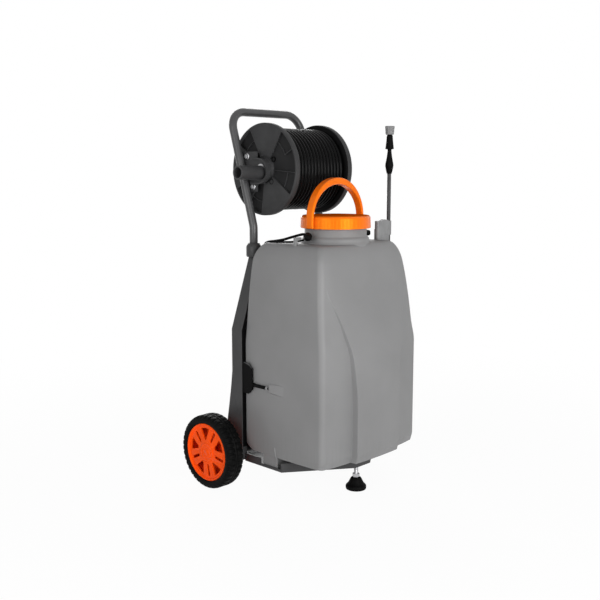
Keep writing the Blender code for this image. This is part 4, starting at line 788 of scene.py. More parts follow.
class CART_OT_lid(bpy.types.Operator):
    """Turn the lid and its seal, and bend the carrying bail over it"""
    bl_idname = "cart.lid"
    bl_label = "Lid and bail"

    def execute(self, context):
        sizes = context.scene.cart_sizes
        at = (0, NECK.y, 0)
        cap = [(POLE, 0.7318), (0.050, 0.7320), (0.0875, 0.7318), (0.0900, 0.7310), (0.0915, 0.7290),
               (0.0920, 0.7260), (0.0929, 0.7030), (0.0930, 0.7000), (0.0845, 0.7000), (0.0845, 0.7262),
               (POLE, 0.7262)]

        def ribbed(radius, height, angle):
            skirt = radius > 0.091 and height < 0.728
            return radius - (0.0006 if skirt and cos(LID_RIBS * angle) > 0.94 else 0.0)

        lid = add("lid_cap", spun("lid_cap", cap, 384, "Z", at, ribbed), "orange_moulding", "lid", "lid")
        soften(lid, 0.0008, 2, 45)
        # The lid's top is matt, and its darker orange is painted shade.
        top = [(POLE, 0.7312), (0.0880, 0.7312), (0.0884, 0.7319), (0.0874, 0.7325), (0.0500, 0.7327),
               (POLE, 0.7325)]
        add("lid_top", spun("lid_top", top, 96, "Z", at), "orange_matt", "lid")
        for name, side in SIDES:
            pin = [(POLE, 0.090), (0.0040, 0.090), (0.0040, 0.1018), (0.0032, 0.1024), (POLE, 0.1024)]
            mesh = spun("bail_pin", sided(pin, side), 24, "X", (0, NECK.y, BAIL_PIVOT))
            add("bail_pin_" + name, mesh, "orange_moulding", "lid")
        add("bail", bail_mesh(sizes.bail_depth), "orange_moulding", "bail", "lid_bail", edge=0.0036)
        dress("lid_gasket", "tyre_rubber")
        return {"FINISHED"}


def bail_mesh(depth):
    """Arch with flat legs that drop outside the lid's skirt."""
    turns = [pi * k / 48 for k in range(49)]
    outer = [(BAIL_HALF * cos(t), BAIL_SPRING + 0.106 * sin(t)) for t in turns]
    inner = [(BAIL_INSIDE * cos(t), BAIL_SPRING + 0.088 * sin(t)) for t in turns]
    outer = [(BAIL_HALF, BAIL_FOOT)] + outer + [(-BAIL_HALF, BAIL_FOOT)]
    inner = [(BAIL_INSIDE, BAIL_FOOT)] + inner + [(-BAIL_INSIDE, BAIL_FOOT)]
    near = NECK.y - depth / 2
    far = NECK.y + depth / 2
    rings = [[(xo, near, zo), (xo, far, zo), (xi, far, zi), (xi, near, zi)]
             for (xo, zo), (xi, zi) in zip(outer, inner)]
    bm = bmesh.new()
    skin(bm, rings)
    return closed_mesh(bm, "bail")


# Reel

def facing(side):
    """Turn a flat plate so that it faces outwards along X on one side of the cart."""
    return Matrix(((0, 0, side), (side, 0, 0), (0, 1, 0))).to_4x4()


def wedge(near, far, start, end, steps=20):
    """Part of a ring between two angles, clockwise from the top as seen from outside the left flange."""
    return arc(0, 0, far, 90 - end, 90 - start, steps) + arc(0, 0, near, 90 - start, 90 - end, steps)


RAISED = ((-26, 34), (124, 184), (244, 304))
RECESSES = ((34, 124), (184, 244), (304, 334))
LONG_RIBS = (-26, 34, 94, 124, 184, 214, 244, 304)
SHORT_RIBS = (64,)
ARC_RIBS = ((36, 63), (96, 122), (186, 212), (306, 332))
FLANGE_RIM = 0.122
FLANGE_FLOOR = 0.1014
FLANGE_LIP = 0.1095
CONE_FOOT = 0.1050
CONE_RUN = 0.081
SECTOR_NEAR = 0.036
SECTOR_FAR = 0.1172
RECESS_NEAR = 0.034
SECTOR_GAP = 0.3
BOLT_CIRCLE = 0.0415


def cone_rise(reach):
    """How far the flange's raised face stands out at a distance from the axis."""
    return CONE_FOOT + (FLANGE_LIP - CONE_FOOT) * min(1.0, max(0.0, (reach - SECTOR_NEAR) / CONE_RUN))


def coned(mesh, side):
    """Lean a flat plate to follow the flange's raised face."""
    for vertex in mesh.vertices:
        reach = hypot(vertex.co.y - REEL.y, vertex.co.z - REEL.z)
        vertex.co.x += side * (cone_rise(reach) - CONE_FOOT)
    return mesh


def reel_plate(name, outline, thickness, edge, side, middle):
    """A flat plate on the outside of a flange, with its middle at a height along the axis."""
    return plate(name, [outline], thickness, edge, facing(side), Vector((side * middle, REEL.y, REEL.z)))


def flange_disc(name, side, at):
    """The flange with its rim, floor and hub."""
    profile = [(0.0148, 0.0945), (0.1208, 0.0945), (0.1217, 0.0950), (FLANGE_RIM, 0.0960),
               (FLANGE_RIM, 0.1082), (0.1216, 0.1092), (0.1208, FLANGE_LIP), (0.1174, FLANGE_LIP),
               (0.1168, 0.1088), (0.1164, 0.1022), (0.1156, FLANGE_FLOOR), (0.0310, FLANGE_FLOOR),
               (0.0300, 0.1024), (0.0275, 0.1150), (0.0265, 0.1157), (0.0148, 0.1157)]
    mesh = spun("flange", sided(profile, side), 160, "X", at, closed=True)
    disc = add("flange_" + name, mesh, "reel_moulding", "reel", "reel_flange_" + name)
    soften(disc, 0.0003, 2, 40)


def flange_sectors(name, side):
    """Raised sectors, and thin dark plates on the recess floors between them, as painted shade."""
    for k, (start, end) in enumerate(RAISED):
        outline = rounded(wedge(SECTOR_NEAR, SECTOR_FAR, start + SECTOR_GAP, end - SECTOR_GAP, 32), 0.0012,
                          2)
        mesh = reel_plate("sector", outline, 0.0050, 0.0006, side, 0.1025)
        add("sector_%s_%d" % (name, k), coned(mesh, side), "reel_moulding", "reel")
    # Dark plates on the recess floors: painted shade for the recesses' depth.
    for k, (start, end) in enumerate(RECESSES):
        outline = wedge(RECESS_NEAR, 0.1155, start + SECTOR_GAP, end - SECTOR_GAP, 40)
        mesh = reel_plate("recess", outline, 0.0012, 0.0002, side, 0.1013)
        add("recess_%s_%d" % (name, k), mesh, "reel_recess", "reel")


def flange_liner(name, side, at):
    """Black disc between the flange and the wound hose, as painted shade on the flange's inner face."""
    liner = [(0.0660, 0.0936), (0.1196, 0.0936), (0.1200, 0.0940), (0.1200, 0.0946), (0.0660, 0.0946)]
    mesh = spun("flange_liner", sided(liner, side), 128, "X", at, closed=True)
    # Painted shade: black disc over the inner face of the flange, which the hose shades.
    add("flange_liner_" + name, mesh, "black_moulding", "reel")


def flange_ribs(name, side):
    """Ribs out from the hub, and short arcs that join them."""
    bars = [(angle, RECESS_NEAR) for angle in LONG_RIBS] + [(angle, 0.084) for angle in SHORT_RIBS]
    for k, (angle, near) in enumerate(bars):
        bar = [(near, -0.0008), (SECTOR_FAR, -0.0008), (SECTOR_FAR, 0.0008), (near, 0.0008)]
        mesh = reel_plate("rib", turned(bar, radians(90 - angle)), 0.0052, 0.0004, side, 0.1026)
        add("rib_%s_%d" % (name, k), coned(mesh, side), "reel_moulding", "reel")
    for k, (start, end) in enumerate(ARC_RIBS):
        mesh = reel_plate("arc_rib", wedge(0.0846, 0.0862, start, end), 0.0040, 0.0004, side, 0.1031)
        add("arc_rib_%s_%d" % (name, k), mesh, "reel_moulding", "reel")


def flange_bolt_holes(name, side, at):
    """Four blind holes round the hub, as black cups whose black is painted shade in the holes."""
    cup = [(0.0072, 0.1010), (0.0072, 0.1058), (0.0066, 0.1064), (0.0058, 0.1060), (0.0056, 0.1016),
           (POLE, 0.1016)]
    for k in range(4):
        turn = radians(90 + 39 - 90 * k)
        hole_at = at + Vector((0, side * BOLT_CIRCLE * cos(turn), BOLT_CIRCLE * sin(turn)))
        mesh = spun("bolt_hole", sided(cup, side), 28, "X", hole_at)
        # Black cups: painted shade in the holes.
        add("bolt_hole_%s_%d" % (name, k), mesh, "black_moulding", "reel")


def flange_pieces(name, side):
    at = Vector((0, REEL.y, REEL.z))
    flange_disc(name, side, at)
    flange_sectors(name, side)
    flange_liner(name, side, at)
    flange_ribs(name, side)
    flange_bolt_holes(name, side, at)


HOSE_CENTRE = 0.1040
HOSE_HALF_WIDTH = 0.08736
CORE_HALF_WIDTH = 0.0940


def hose_path(turns):
    """One unbroken layer with the small unevenness of hand winding, straight at both ends."""
    width = 2 * HOSE_HALF_WIDTH
    per_turn = 48
    total = turns * per_turn
    bumps = [1.0 + 0.12 * noise.noise(Vector((k * 0.83, 4.7, 1.3))) for k in range(turns)]
    scale = width / sum(bumps)
    across = -width / 2
    points = []
    for k in range(total + 1):
        angle = tau * k / per_turn
        sway = 0.0005 * noise.noise(Vector((k / per_turn * 2.1, 0.4, 2.0)))
        reach = HOSE_CENTRE + sway
        points.append(Vector((across, REEL.y + reach * cos(angle), REEL.z + reach * sin(angle))))
        across += bumps[min(turns - 1, k // per_turn)] * scale / per_turn
    tangent = Vector((0.0, 0.0, 1.0)) * 0.012
    return [points[0] - tangent] + points + [points[-1] + tangent]


class CART_OT_reel(bpy.types.Operator):
    """Mould the reel's ribbed flanges and set its drum, shaft and crank"""
    bl_idname = "cart.reel"
    bl_label = "Hose reel"

    def execute(self, context):
        for name, side in SIDES:
            flange_pieces(name, side)
        dress("reel_drum", "reel_moulding")
        dress("reel_shaft", "plated_steel")
        dress("crank_arm", "frame_coat", 0.0006)
        grip_at = (0, middle_of("crank_knob").y, middle_of("crank_knob").z)
        low, high = ends_of("crank_knob", "x")
        grip = [(0.0046, low), (0.0100, low), (0.0110, low + 0.0015), (0.0122, low + 0.012),
                (0.0136, high - 0.030), (0.0138, high - 0.018), (0.0126, high - 0.006),
                (0.0098, high - 0.0014), (0.0070, high), (POLE, high)]
        add("crank_grip", spun("crank_grip", grip, 48, "X", grip_at), "black_moulding", "crank_knob",
            "crank_knob")
        return {"FINISHED"}


class CART_OT_hose(bpy.types.Operator):
    """Wind the hose on the reel and fit its coupling"""
    bl_idname = "cart.hose"
    bl_label = "Wound hose"

    def execute(self, context):
        sizes = context.scene.cart_sizes
        path = hose_path(sizes.hose_turns)
        add("hose_coils", swept("hose_coils", path, sizes.hose_radius, 14), "hose_rubber", "reel",
            "hose_winding")
        at = (0, REEL.y, REEL.z)

        def layered(radius, height, angle):
            return radius - (0.0012 * abs(sin(height * 262.0 + angle * 0.5)) if radius > 0.09 else 0.0)

        rows = [(0.0972, 2 * CORE_HALF_WIDTH * k / 120 - CORE_HALF_WIDTH) for k in range(121)]
        core = [(0.0645, -CORE_HALF_WIDTH)] + rows + [(0.0645, CORE_HALF_WIDTH)]
        mesh = spun("hose_under_layers", core, 72, "X", at, layered, closed=True)
        add("hose_under_layers", mesh, "hose_rubber", "reel", "hose_inner_layers")
        dress("hose_coupling", "turned_brass")
        dress("swivel_inlet", "turned_brass")
        return {"FINISHED"}


# Wheels

RIM_FACE = 0.0725
WINDOW_NEAR = 0.034
WINDOW_FAR = 0.0655
FIRST_WINDOW = 97
TREAD_FOOT = 0.0915
CENTRE_RIB = 0.0062


def rim_window_outlines(windows):
    """The rim's face, then its tapered windows with a narrow slot after each."""
    outlines = [[(RIM_FACE * cos(tau * k / 120), RIM_FACE * sin(tau * k / 120)) for k in range(120)]]
    for k in range(windows):
        middle = FIRST_WINDOW + 360 * k / windows
        tapered = arc(0, 0, WINDOW_FAR, middle - 15.5, middle + 15.5, 8)
        tapered += arc(0, 0, WINDOW_NEAR, middle + 4.5, middle - 4.5, 2)
        outlines.append(rounded(tapered, 0.0035, 4))
        near = WINDOW_NEAR - 0.001
        slot = [(near, -0.0032), (WINDOW_FAR, -0.0042), (WINDOW_FAR, 0.0042), (near, 0.0032)]
        outlines.append(rounded(turned(slot, radians(middle + 180 / windows)), 0.0030, 4))
    return outlines


def tyre_piece(name, side, at, sizes):
    """Tyre with two staggered rows of blocks beside a plain rib."""
    blocks = sizes.tread_blocks

    def treaded(radius, height, angle):
        if radius < TREAD_FOOT or abs(height) < CENTRE_RIB:
            return radius
        row = 0.5 if height > 0 else 0.0
        phase = (angle / tau * blocks + row) % 1.0
        groove = min(1.0, max(0.0, (abs(phase - 0.5) - 0.30) / 0.06))
        share = min(1.0, (radius - TREAD_FOOT) / 0.004)
        return radius - sizes.tread_depth * groove * share

    cross = [(0.0783, 0.0222), (0.0800, 0.0248), (0.0840, 0.0262), (0.0885, 0.0265), (0.0915, 0.0262),
             (0.0945, 0.0253), (0.0968, 0.0238), (0.0984, 0.0216), (0.0994, 0.0188), (0.1000, 0.0150),
             (0.1000, 0.0110), (0.1000, 0.0075), (0.0998, 0.0066), (0.0985, 0.0058), (0.0985, 0.0012),
             (0.0998, 0.0006)]
    cross = cross + [(r, -h) for r, h in reversed(cross)]
    tyre = spun("tyre", sided(cross, side), blocks * 14, "X", at, treaded, closed=True)
    add("tyre_tread_" + name, tyre, "tyre_rubber", "wheel_" + name, "tyre_" + name, slot="tyre")


def rim_pieces(name, side, at, windows):
    """Rim of a wheel: barrel, disc behind the windows, face, hub and hub cover."""
    body = "wheel_" + name
    barrel = [(0.0780, 0.0220), (0.0774, 0.0238), (0.0764, 0.0243), (0.0746, 0.0243), (0.0736, 0.0238),
              (0.0722, 0.0208), (0.0700, 0.0180), (0.0700, 0.0130), (0.0712, 0.0100), (0.0718, -0.0220),
              (0.0724, -0.0225), (0.0776, -0.0225), (0.0780, -0.0220)]
    ring = spun("rim_barrel", sided(barrel, side), 128, "X", at, closed=True)
    add("rim_barrel_" + name, ring, "rim_moulding", body, "rim_" + name)
    web = [(0.0150, -0.0075), (0.0716, -0.0100), (0.0716, -0.0075), (0.0150, -0.0050)]
    back = spun("rim_web", sided(web, side), 96, "X", at, closed=True)
    add("rim_web_" + name, back, "rim_moulding", body)
    mesh = plate("rim_face", rim_window_outlines(windows), 0.0055, 0.0010, facing(side),
                 at + Vector((side * 0.0170, 0, 0)))
    for vertex in mesh.vertices:
        reach = hypot(vertex.co.y - at.y, vertex.co.z - at.z)
        vertex.co.x += side * 0.0022 * (1 - min(1.0, reach / 0.07) ** 2)
    add("rim_face_" + name, mesh, "rim_moulding", body)
    hub = [(0.0083, -0.0262), (0.0152, -0.0262), (0.0160, -0.0250), (0.0165, 0.0100), (0.0230, 0.0130),
           (0.0270, 0.0205), (0.0262, 0.0218), (0.0205, 0.0218), (0.0196, 0.0210), (0.0196, 0.0140),
           (0.0083, 0.0140)]
    mesh = spun("rim_hub", sided(hub, side), 72, "X", at, closed=True)
    add("rim_hub_" + name, mesh, "rim_moulding", body)
    cap = [(POLE, 0.0136), (0.0187, 0.0136), (0.0187, 0.0200), (0.0180, 0.0211), (0.0150, 0.0218),
           (0.0120, 0.0219), (0.0112, 0.0212), (0.0104, 0.0212), (0.0096, 0.0219), (POLE, 0.0221)]
    mesh = spun("hub_cover", sided(cap, side), 56, "X", at)
    add("hub_cover_" + name, mesh, "rim_moulding", body, "hub_cap_" + name)


class CART_OT_wheels(bpy.types.Operator):
    """Mould the wheels with their windowed rims and notched tyres"""
    bl_idname = "cart.wheels"
    bl_label = "Wheels"

    def execute(self, context):
        sizes = context.scene.cart_sizes
        for name, side in SIDES:
            at = Vector(joints["wheel_%s_spin" % name]["pos_m"])
            tyre_piece(name, side, at, sizes)
            rim_pieces(name, side, at, sizes.rim_windows)
        dress("axle", "plated_steel")
        return {"FINISHED"}


# Frame

class CART_OT_frame(bpy.types.Operator):
    """Coat the folded channels, crossbars, tray and reel brackets"""
    bl_idname = "cart.frame"
    bl_label = "Frame"

    def execute(self, context):
        edge = context.scene.cart_sizes.edge
        for node in ("side_channel_left", "side_channel_right", "lower_crossbar", "base_tray",
                     "reel_bracket_left", "reel_bracket_right", "upper_crossbar"):
            dress(node, "frame_coat", edge)
        for name, side in SIDES:
            collar_piece(name)
            for level in ("upper", "lower"):
                bolt_piece("bracket_bolt_%s_%s" % (name, level), side)
            lug_piece(name, side)
            edge_strip(name, side)
        return {"FINISHED"}


def collar_piece(name):
    """Collar that holds the foot of the handle."""
    node = "handle_socket_" + name
    at = middle_of(node)
    low, high = ends_of(node, "z")
    collar = [(POLE, low), (0.0186, low), (0.0198, low + 0.0012), (0.0203, low + 0.004),
              (0.0203, high - 0.011), (0.0196, high - 0.0085), (0.0152, high - 0.001), (0.0138, high),
              (0.0113, high), (0.0113, low + 0.003), (POLE, low + 0.003)]
    mesh = spun("handle_collar", collar, 64, "Z", (at.x, at.y, 0))
    add("handle_collar_" + name, mesh, "frame_coat", "cart", node)


def lug_piece(name, side):
    """Black sleeve over the lug that the tank's tie bolt is fixed to."""
    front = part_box("tie_bolt_" + name)[1].y + 0.0001
    rear = AXLE.y - 0.0586
    low, high = 0.2614, 0.3456
    outline = [(rear, low), (rear, high), (rear - 0.004, high), (front + 0.008, high - 0.008),
               (front, high - 0.0145), (front, low + 0.0145), (front + 0.0145, low)]
    inner, outer = side * 0.1941, side * 0.1989
    add("lug_sleeve_" + name, slab("lug_sleeve", outline, inner, outer, "X"), "black_moulding", "cart",
        edge=0.0008)


def edge_strip(name, side):
    """Black strip over the channel's front flange, as painted shade from the tank beside it."""
    front = AXLE.y - 0.0600
    bm = bmesh.new()
    rings = []
    for z, outer in ((0.110, 0.1990), (0.430, 0.1990), (0.600, 0.1410)):
        section = [(outer, front - 0.0001), (outer - 0.0006, front - 0.0008),
                   (outer - 0.0240, front - 0.0008), (outer - 0.0246, front - 0.0001)]
        rings.append([(side * x, y, z) for x, y in section])
    skin(bm, rings)
    # Painted shade: black sheet over the channel's front flange, behind the tank.
    add("edge_strip_" + name, closed_mesh(bm, "edge_strip"), "black_moulding", "cart", edge=0.0002)


def bolt_piece(node, side):
    """Hex bolt head with a washer under it."""
    at = middle_of(node)
    low, high = ends_of(node, "x")
    seat = low if side > 0 else high
    washer = [(POLE, 0.0001), (0.0082, 0.0001), (0.0086, 0.0005), (0.0082, 0.0011), (POLE, 0.0011)]
    washer = [(r, seat + side * h) for r, h in washer]
    add(node + "_washer", spun("washer", washer, 40, "X", (0, at.y, at.z)), "plated_steel", "cart")
    head = slab("bolt_head", hexagon(0.0064), seat + side * 0.0010, seat + side * 0.0053, "X",
                (0, at.y, at.z))
    add(node + "_head", head, "plated_steel", "cart", node, edge=0.0007)


# Handle

HANDLE_HALF = 0.132
HANDLE_RADIUS = 0.0110
HANDLE_BEND = 0.050


class CART_OT_handle(bpy.types.Operator):
    """Bend the handle tube"""
    bl_idname = "cart.handle"
    bl_label = "Handle"

    def execute(self, context):
        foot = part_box("handle_tube")[0].z
        right = [(HANDLE_HALF, AXLE.y - 0.037, foot), (HANDLE_HALF, AXLE.y - 0.037, 0.700),
                 (HANDLE_HALF, AXLE.y + 0.054, 1.0066)]
        path = filleted([(-x, y, z) for x, y, z in right] + right[::-1], HANDLE_BEND, 18)
        mesh = swept("handle_bar", path, HANDLE_RADIUS, 40)
        add("handle_bar", mesh, "tube_coat", "cart", "handle_tube")
        return {"FINISHED"}


# Retainers, ties and hook

RETAINER_HALF = 0.112
TIP_TURN = radians(45)


def retainer_pieces(name, side):
    """Rod with a second leg that holds the tank's neck by a tapered rubber tip."""
    tip = middle_of("retainer_tip_" + name)
    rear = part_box("retainer_tip_" + name)[1].y
    bends = [(0.0987, AXLE.y - 0.041, 0.6113), (0.0987, AXLE.y - 0.044, 0.6317),
             (RETAINER_HALF, AXLE.y - 0.060, 0.6530), (0.123, AXLE.y - 0.0837, 0.6615),
             (0.124, AXLE.y - 0.1103, 0.6655), (0.124, AXLE.y - 0.1402, 0.6705),
             (0.121, AXLE.y - 0.1659, 0.6776), (RETAINER_HALF, rear + 0.006, 0.6860),
             (RETAINER_HALF, rear - 0.006, 0.6870)]
    bends = [(side * x, y, z) for x, y, z in bends]
    rod = swept("retainer_bar", smooth_path(bends, 8), 0.0035, 20)
    add("retainer_bar_" + name, rod, "black_moulding", "cart", "retainer_rod_" + name)
    leg = [(0.1235, AXLE.y - 0.0900, 0.6640), (0.1275, AXLE.y - 0.1331, 0.6645),
           (0.1240, AXLE.y - 0.1807, 0.6675), (RETAINER_HALF, rear - 0.004, 0.6725)]
    leg = [(side * x, y, z) for x, y, z in leg]
    mesh = swept("retainer_leg", smooth_path(leg, 8), 0.0027, 16)
    add("retainer_leg_" + name, mesh, "black_moulding", "cart")
    grip = [(POLE, -0.0170), (0.0040, -0.0168), (0.0062, -0.0155), (0.0074, -0.0120), (0.0086, -0.0060),
            (0.0098, 0.0000), (0.0108, 0.0060), (0.0114, 0.0110), (0.0112, 0.0140), (0.0098, 0.0162),
            (0.0070, 0.0169), (POLE, 0.0170)]
    mesh = spun("retainer_grip", grip, 48, "Y")
    mesh.transform(Matrix.Translation(tip) @ Matrix.Rotation(side * TIP_TURN, 4, "Z"))
    add("retainer_grip_" + name, mesh, "tyre_rubber", "cart", "retainer_tip_" + name)


def tie_pieces(name):
    """Threaded tie with its sleeve and its two nuts."""
    node = "tie_bolt_" + name
    low, high = ends_of(node, "y")
    at = (middle_of(node).x, 0, middle_of(node).z)
    screw = thread("tie_screw", 0.0030, low, high, 0.0012, at, "Y")
    add("tie_screw_" + name, screw, "black_moulding", "cart", node)
    sleeve = [(0.0031, low + 0.0090), (0.0042, low + 0.0090), (0.0046, low + 0.0096),
              (0.0046, high - 0.0075), (0.0042, high - 0.0069), (0.0031, high - 0.0069)]
    mesh = spun("tie_sleeve", sleeve, 32, "Y", at, closed=True)
    add("tie_sleeve_" + name, mesh, "black_moulding", "cart")
    for k, (start, look) in enumerate(((low + 0.002, "pale_moulding"), (high - 0.0066, "black_moulding"))):
        nut = slab("tie_nut", hexagon(0.0061), start, start + 0.006, "Y", at)
        add("tie_nut_%s_%d" % (name, k), nut, look, "cart", edge=0.0007)


class CART_OT_straps(bpy.types.Operator):
    """Bend the retainers over the tank's shoulders and fit the tie bolts and hook"""
    bl_idname = "cart.straps"
    bl_label = "Retainers and ties"

    def execute(self, context):
        for name, side in SIDES:
            retainer_pieces(name, side)
            tie_pieces(name)
        dress("hose_hook", "pale_moulding", 0.0010)
        return {"FINISHED"}


# Lance

class CART_OT_lance(bpy.types.Operator):
    """Build the spray gun, lance, nozzle and their holders"""
    bl_idname = "cart.lance"
    bl_label = "Spray lance"

    def execute(self, context):
        at = (LANCE.x, LANCE.y, 0)
        gun = [(POLE, 0.1503), (0.0085, 0.1503), (0.0095, 0.1512), (0.0095, 0.1753), (0.0140, 0.1756),
               (0.0146, 0.1766), (0.0150, 0.2000), (0.0151, 0.2300), (0.0146, 0.2600), (0.0138, 0.2900),
               (0.0141, 0.2950), (0.0158, 0.3000), (0.0160, 0.3020), (0.0160, 0.3290), (0.0156, 0.3310),
               (0.0098, 0.3445), (0.0090, 0.3453), (0.0056, 0.3453), (0.0056, 0.3260), (POLE, 0.3260)]

        def grooved(radius, height, angle):
            inside = 0.185 < height < 0.285 and radius > 0.013
            return radius - (0.0006 * max(0.0, cos(height * 780.0)) if inside else 0.0)

        fine = []
        for (r0, h0), (r1, h1) in zip(gun, gun[1:]):
            cuts = 14 if 0.176 < h0 < 0.29 and abs(h1 - h0) > 0.01 else 1
            fine += [(r0 + (r1 - r0) * k / cuts, h0 + (h1 - h0) * k / cuts) for k in range(cuts)]
        fine.append(gun[-1])
        add("spray_gun", spun("spray_gun", fine, 56, "Z", at, grooved), "black_moulding", "lance",
            "gun_body")
        pivot = Vector(joints["trigger_pull"]["pos_m"])
        near, far = LANCE.x + 0.010, LANCE.x + 0.029
        cheek = [(near, pivot.z - 0.008), (far, pivot.z - 0.008), (far, pivot.z + 0.008),
                 (near, pivot.z + 0.008)]
        for k, low in enumerate((LANCE.y + 0.0065, LANCE.y - 0.0090)):
            mesh = slab("trigger_cheek", rounded(cheek, 0.006), low, low + 0.0025, "Y")
            add("trigger_cheek_%d" % k, mesh, "black_moulding", "lance", edge=0.0005)
        dress("gun_trigger", "black_moulding", 0.0008)
        low, high = ends_of("lance_tube", "z")
        pipe = [(LANCE.x, LANCE.y, z) for z in (low, 0.5, high)]
        mesh = swept("lance_pipe", pipe, 0.0055, 32, 0.0003)
        add("lance_pipe", mesh, "pipe_coat", "lance", "lance_tube")
        self.nozzle(at)
        dress("lance_clip", "pale_moulding", 0.0008)
        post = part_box("lance_clip")[0].x + 0.004
        ring = LANCE.x - 0.0085
        gusset = [(post, 0.690), (ring, 0.690), (ring, 0.632), (0.176, 0.632), (0.160, 0.645), (post, 0.656)]
        mesh = slab("clip_gusset", gusset, LANCE.y - 0.0095, LANCE.y - 0.0045, "Y")
        add("clip_gusset", mesh, "pale_moulding", "cart", edge=0.0008)
        dress("lance_holster", "black_moulding", 0.0006)
        return {"FINISHED"}

    def nozzle(self, at):
        """The knurled stem and the fluted cap at the lance's upper end."""
        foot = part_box("nozzle_body")[0].z
        body = [(0.0059, 0.0000), (0.0068, 0.0000), (0.0072, 0.0010), (0.0093, 0.0096), (0.0112, 0.0200),
                (0.0115, 0.0215), (0.0112, 0.0255), (0.0105, 0.0300), (0.0080, 0.0425), (0.0058, 0.0580),
                (0.0054, 0.0640), (0.0056, 0.0662), (0.0112, 0.0674), (0.0118, 0.0684), (0.0116, 0.0700),
                (0.0107, 0.0780), (0.0094, 0.0890), (0.0085, 0.1010), (0.0080, 0.1040), (0.0065, 0.1060),
                (0.0065, 0.1118), (POLE, 0.1120)]
        body = [(radius, foot + height) for radius, height in body]

        def knurled(radius, height, angle):
            rise = height - foot
            return radius - (0.0005 * max(0.0, cos(24 * angle)) if 0.009 < rise < 0.028 else 0.0)

        add("nozzle_stem", spun("nozzle_stem", body, 96, "Z", at, knurled), "black_moulding", "lance",
            "nozzle_body")
        low, high = ends_of("nozzle_cap", "z")
        cap = [(POLE, low + 0.0062), (0.0068, low + 0.0062), (0.0068, low), (0.0100, low),
               (0.0112, low + 0.0010), (0.0119, low + 0.0060), (0.0123, high - 0.0080),
               (0.0130, high - 0.0050), (0.0130, high - 0.0006), (0.0124, high), (0.0096, high),
               (0.0090, high - 0.0030), (POLE, high - 0.0034)]

        def fluted(radius, height, angle):
            outside = radius > 0.0110 and height > low + 0.003
            return radius - (0.0009 * max(0.0, cos(12 * angle)) if outside else 0.0)

        add("nozzle_tip", spun("nozzle_tip", cap, 96, "Z", at, fluted), "pale_moulding", "nozzle_cap",
            "nozzle_cap")


# Foot

class CART_OT_foot(bpy.types.Operator):
    """Turn the levelling foot and its threaded rod"""
    bl_idname = "cart.foot"
    bl_label = "Levelling foot"

    def execute(self, context):
        at = (0, FOOT.y, 0)
        pad = [(POLE, 0.0), (0.0255, 0.0), (0.0268, 0.0006), (0.0277, 0.0030), (0.0280, 0.0065),
               (0.0274, 0.0100), (0.0256, 0.0122), (0.0238, 0.0134), (0.0205, 0.0180), (0.0172, 0.0245),
               (0.0150, 0.0290), (0.0130, 0.0318), (0.0106, 0.0330), (0.0063, 0.0330), (0.0063, 0.0180),
               (POLE, 0.0180)]
        add("foot_boot", spun("foot_boot", pad, 72, "Z", at), "tyre_rubber", "foot", "foot_pad")
        low, high = ends_of("foot_rod", "z")
        add("foot_screw", thread("foot_screw", 0.0058, low, high, 0.0016, at), "plated_steel", "foot",
            "foot_rod")
        collar = slab("foot_collar", hexagon(0.0099), 0.0334, 0.0432, "Z", at)
        add("foot_collar", collar, "plated_steel", "foot", edge=0.0008)
        dress("foot_nut", "plated_steel", 0.0004)
        return {"FINISHED"}


# Power box

class CART_OT_power_box(bpy.types.Operator):
    """Finish the battery box, its cover and its controls"""
    bl_idname = "cart.power_box"
    bl_label = "Power box"

    def execute(self, context):
        edge = context.scene.cart_sizes.edge
        dress("power_box", "black_moulding", edge)
        dress("power_box_cover", "black_moulding", edge)
        for node in ("battery", "pump", "tank_outlet"):
            dress(node, "black_moulding")
        dress("power_switch", "orange_moulding", 0.0006)
        low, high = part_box("power_box_cover")
        for k, (x, z) in enumerate(((low.x, low.z), (high.x, low.z), (low.x, high.z), (high.x, high.z))):
            inward = Vector((0.014 if x < 0 else -0.014, 0, 0.014 if z < 0.3 else -0.014))
            screw = [(POLE, high.y + 0.0013), (0.0020, high.y + 0.0012), (0.0034, high.y + 0.0006),
                     (0.0040, high.y - 0.0004), (0.0040, high.y - 0.002), (POLE, high.y - 0.002)]
            mesh = spun("cover_screw", screw, 28, "Y", Vector((x, 0, z)) + inward)
            add("cover_screw_%d" % k, mesh, "plated_steel", "cart")
        at = Vector(joints["flow_knob_turn"]["pos_m"])
        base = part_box("flow_knob")[0].y
        face = high.y + 0.0003
        dial = [(POLE, base), (0.0040, base), (0.0040, face), (0.0152, face), (0.0160, face + 0.0008),
                (0.0160, face + 0.005), (0.0132, face + 0.0152), (0.0120, face + 0.0166),
                (POLE, face + 0.0168)]

        def fluted(radius, height, angle):
            outside = radius > 0.0128 and height > face + 0.002
            return radius - (0.0010 * max(0.0, cos(18 * angle)) if outside else 0.0)

        add("flow_dial", spun("flow_dial", dial, 108, "Y", (at.x, 0, at.z), fluted), "black_moulding",
            "flow_knob", "flow_knob")
        return {"FINISHED"}


# Stage

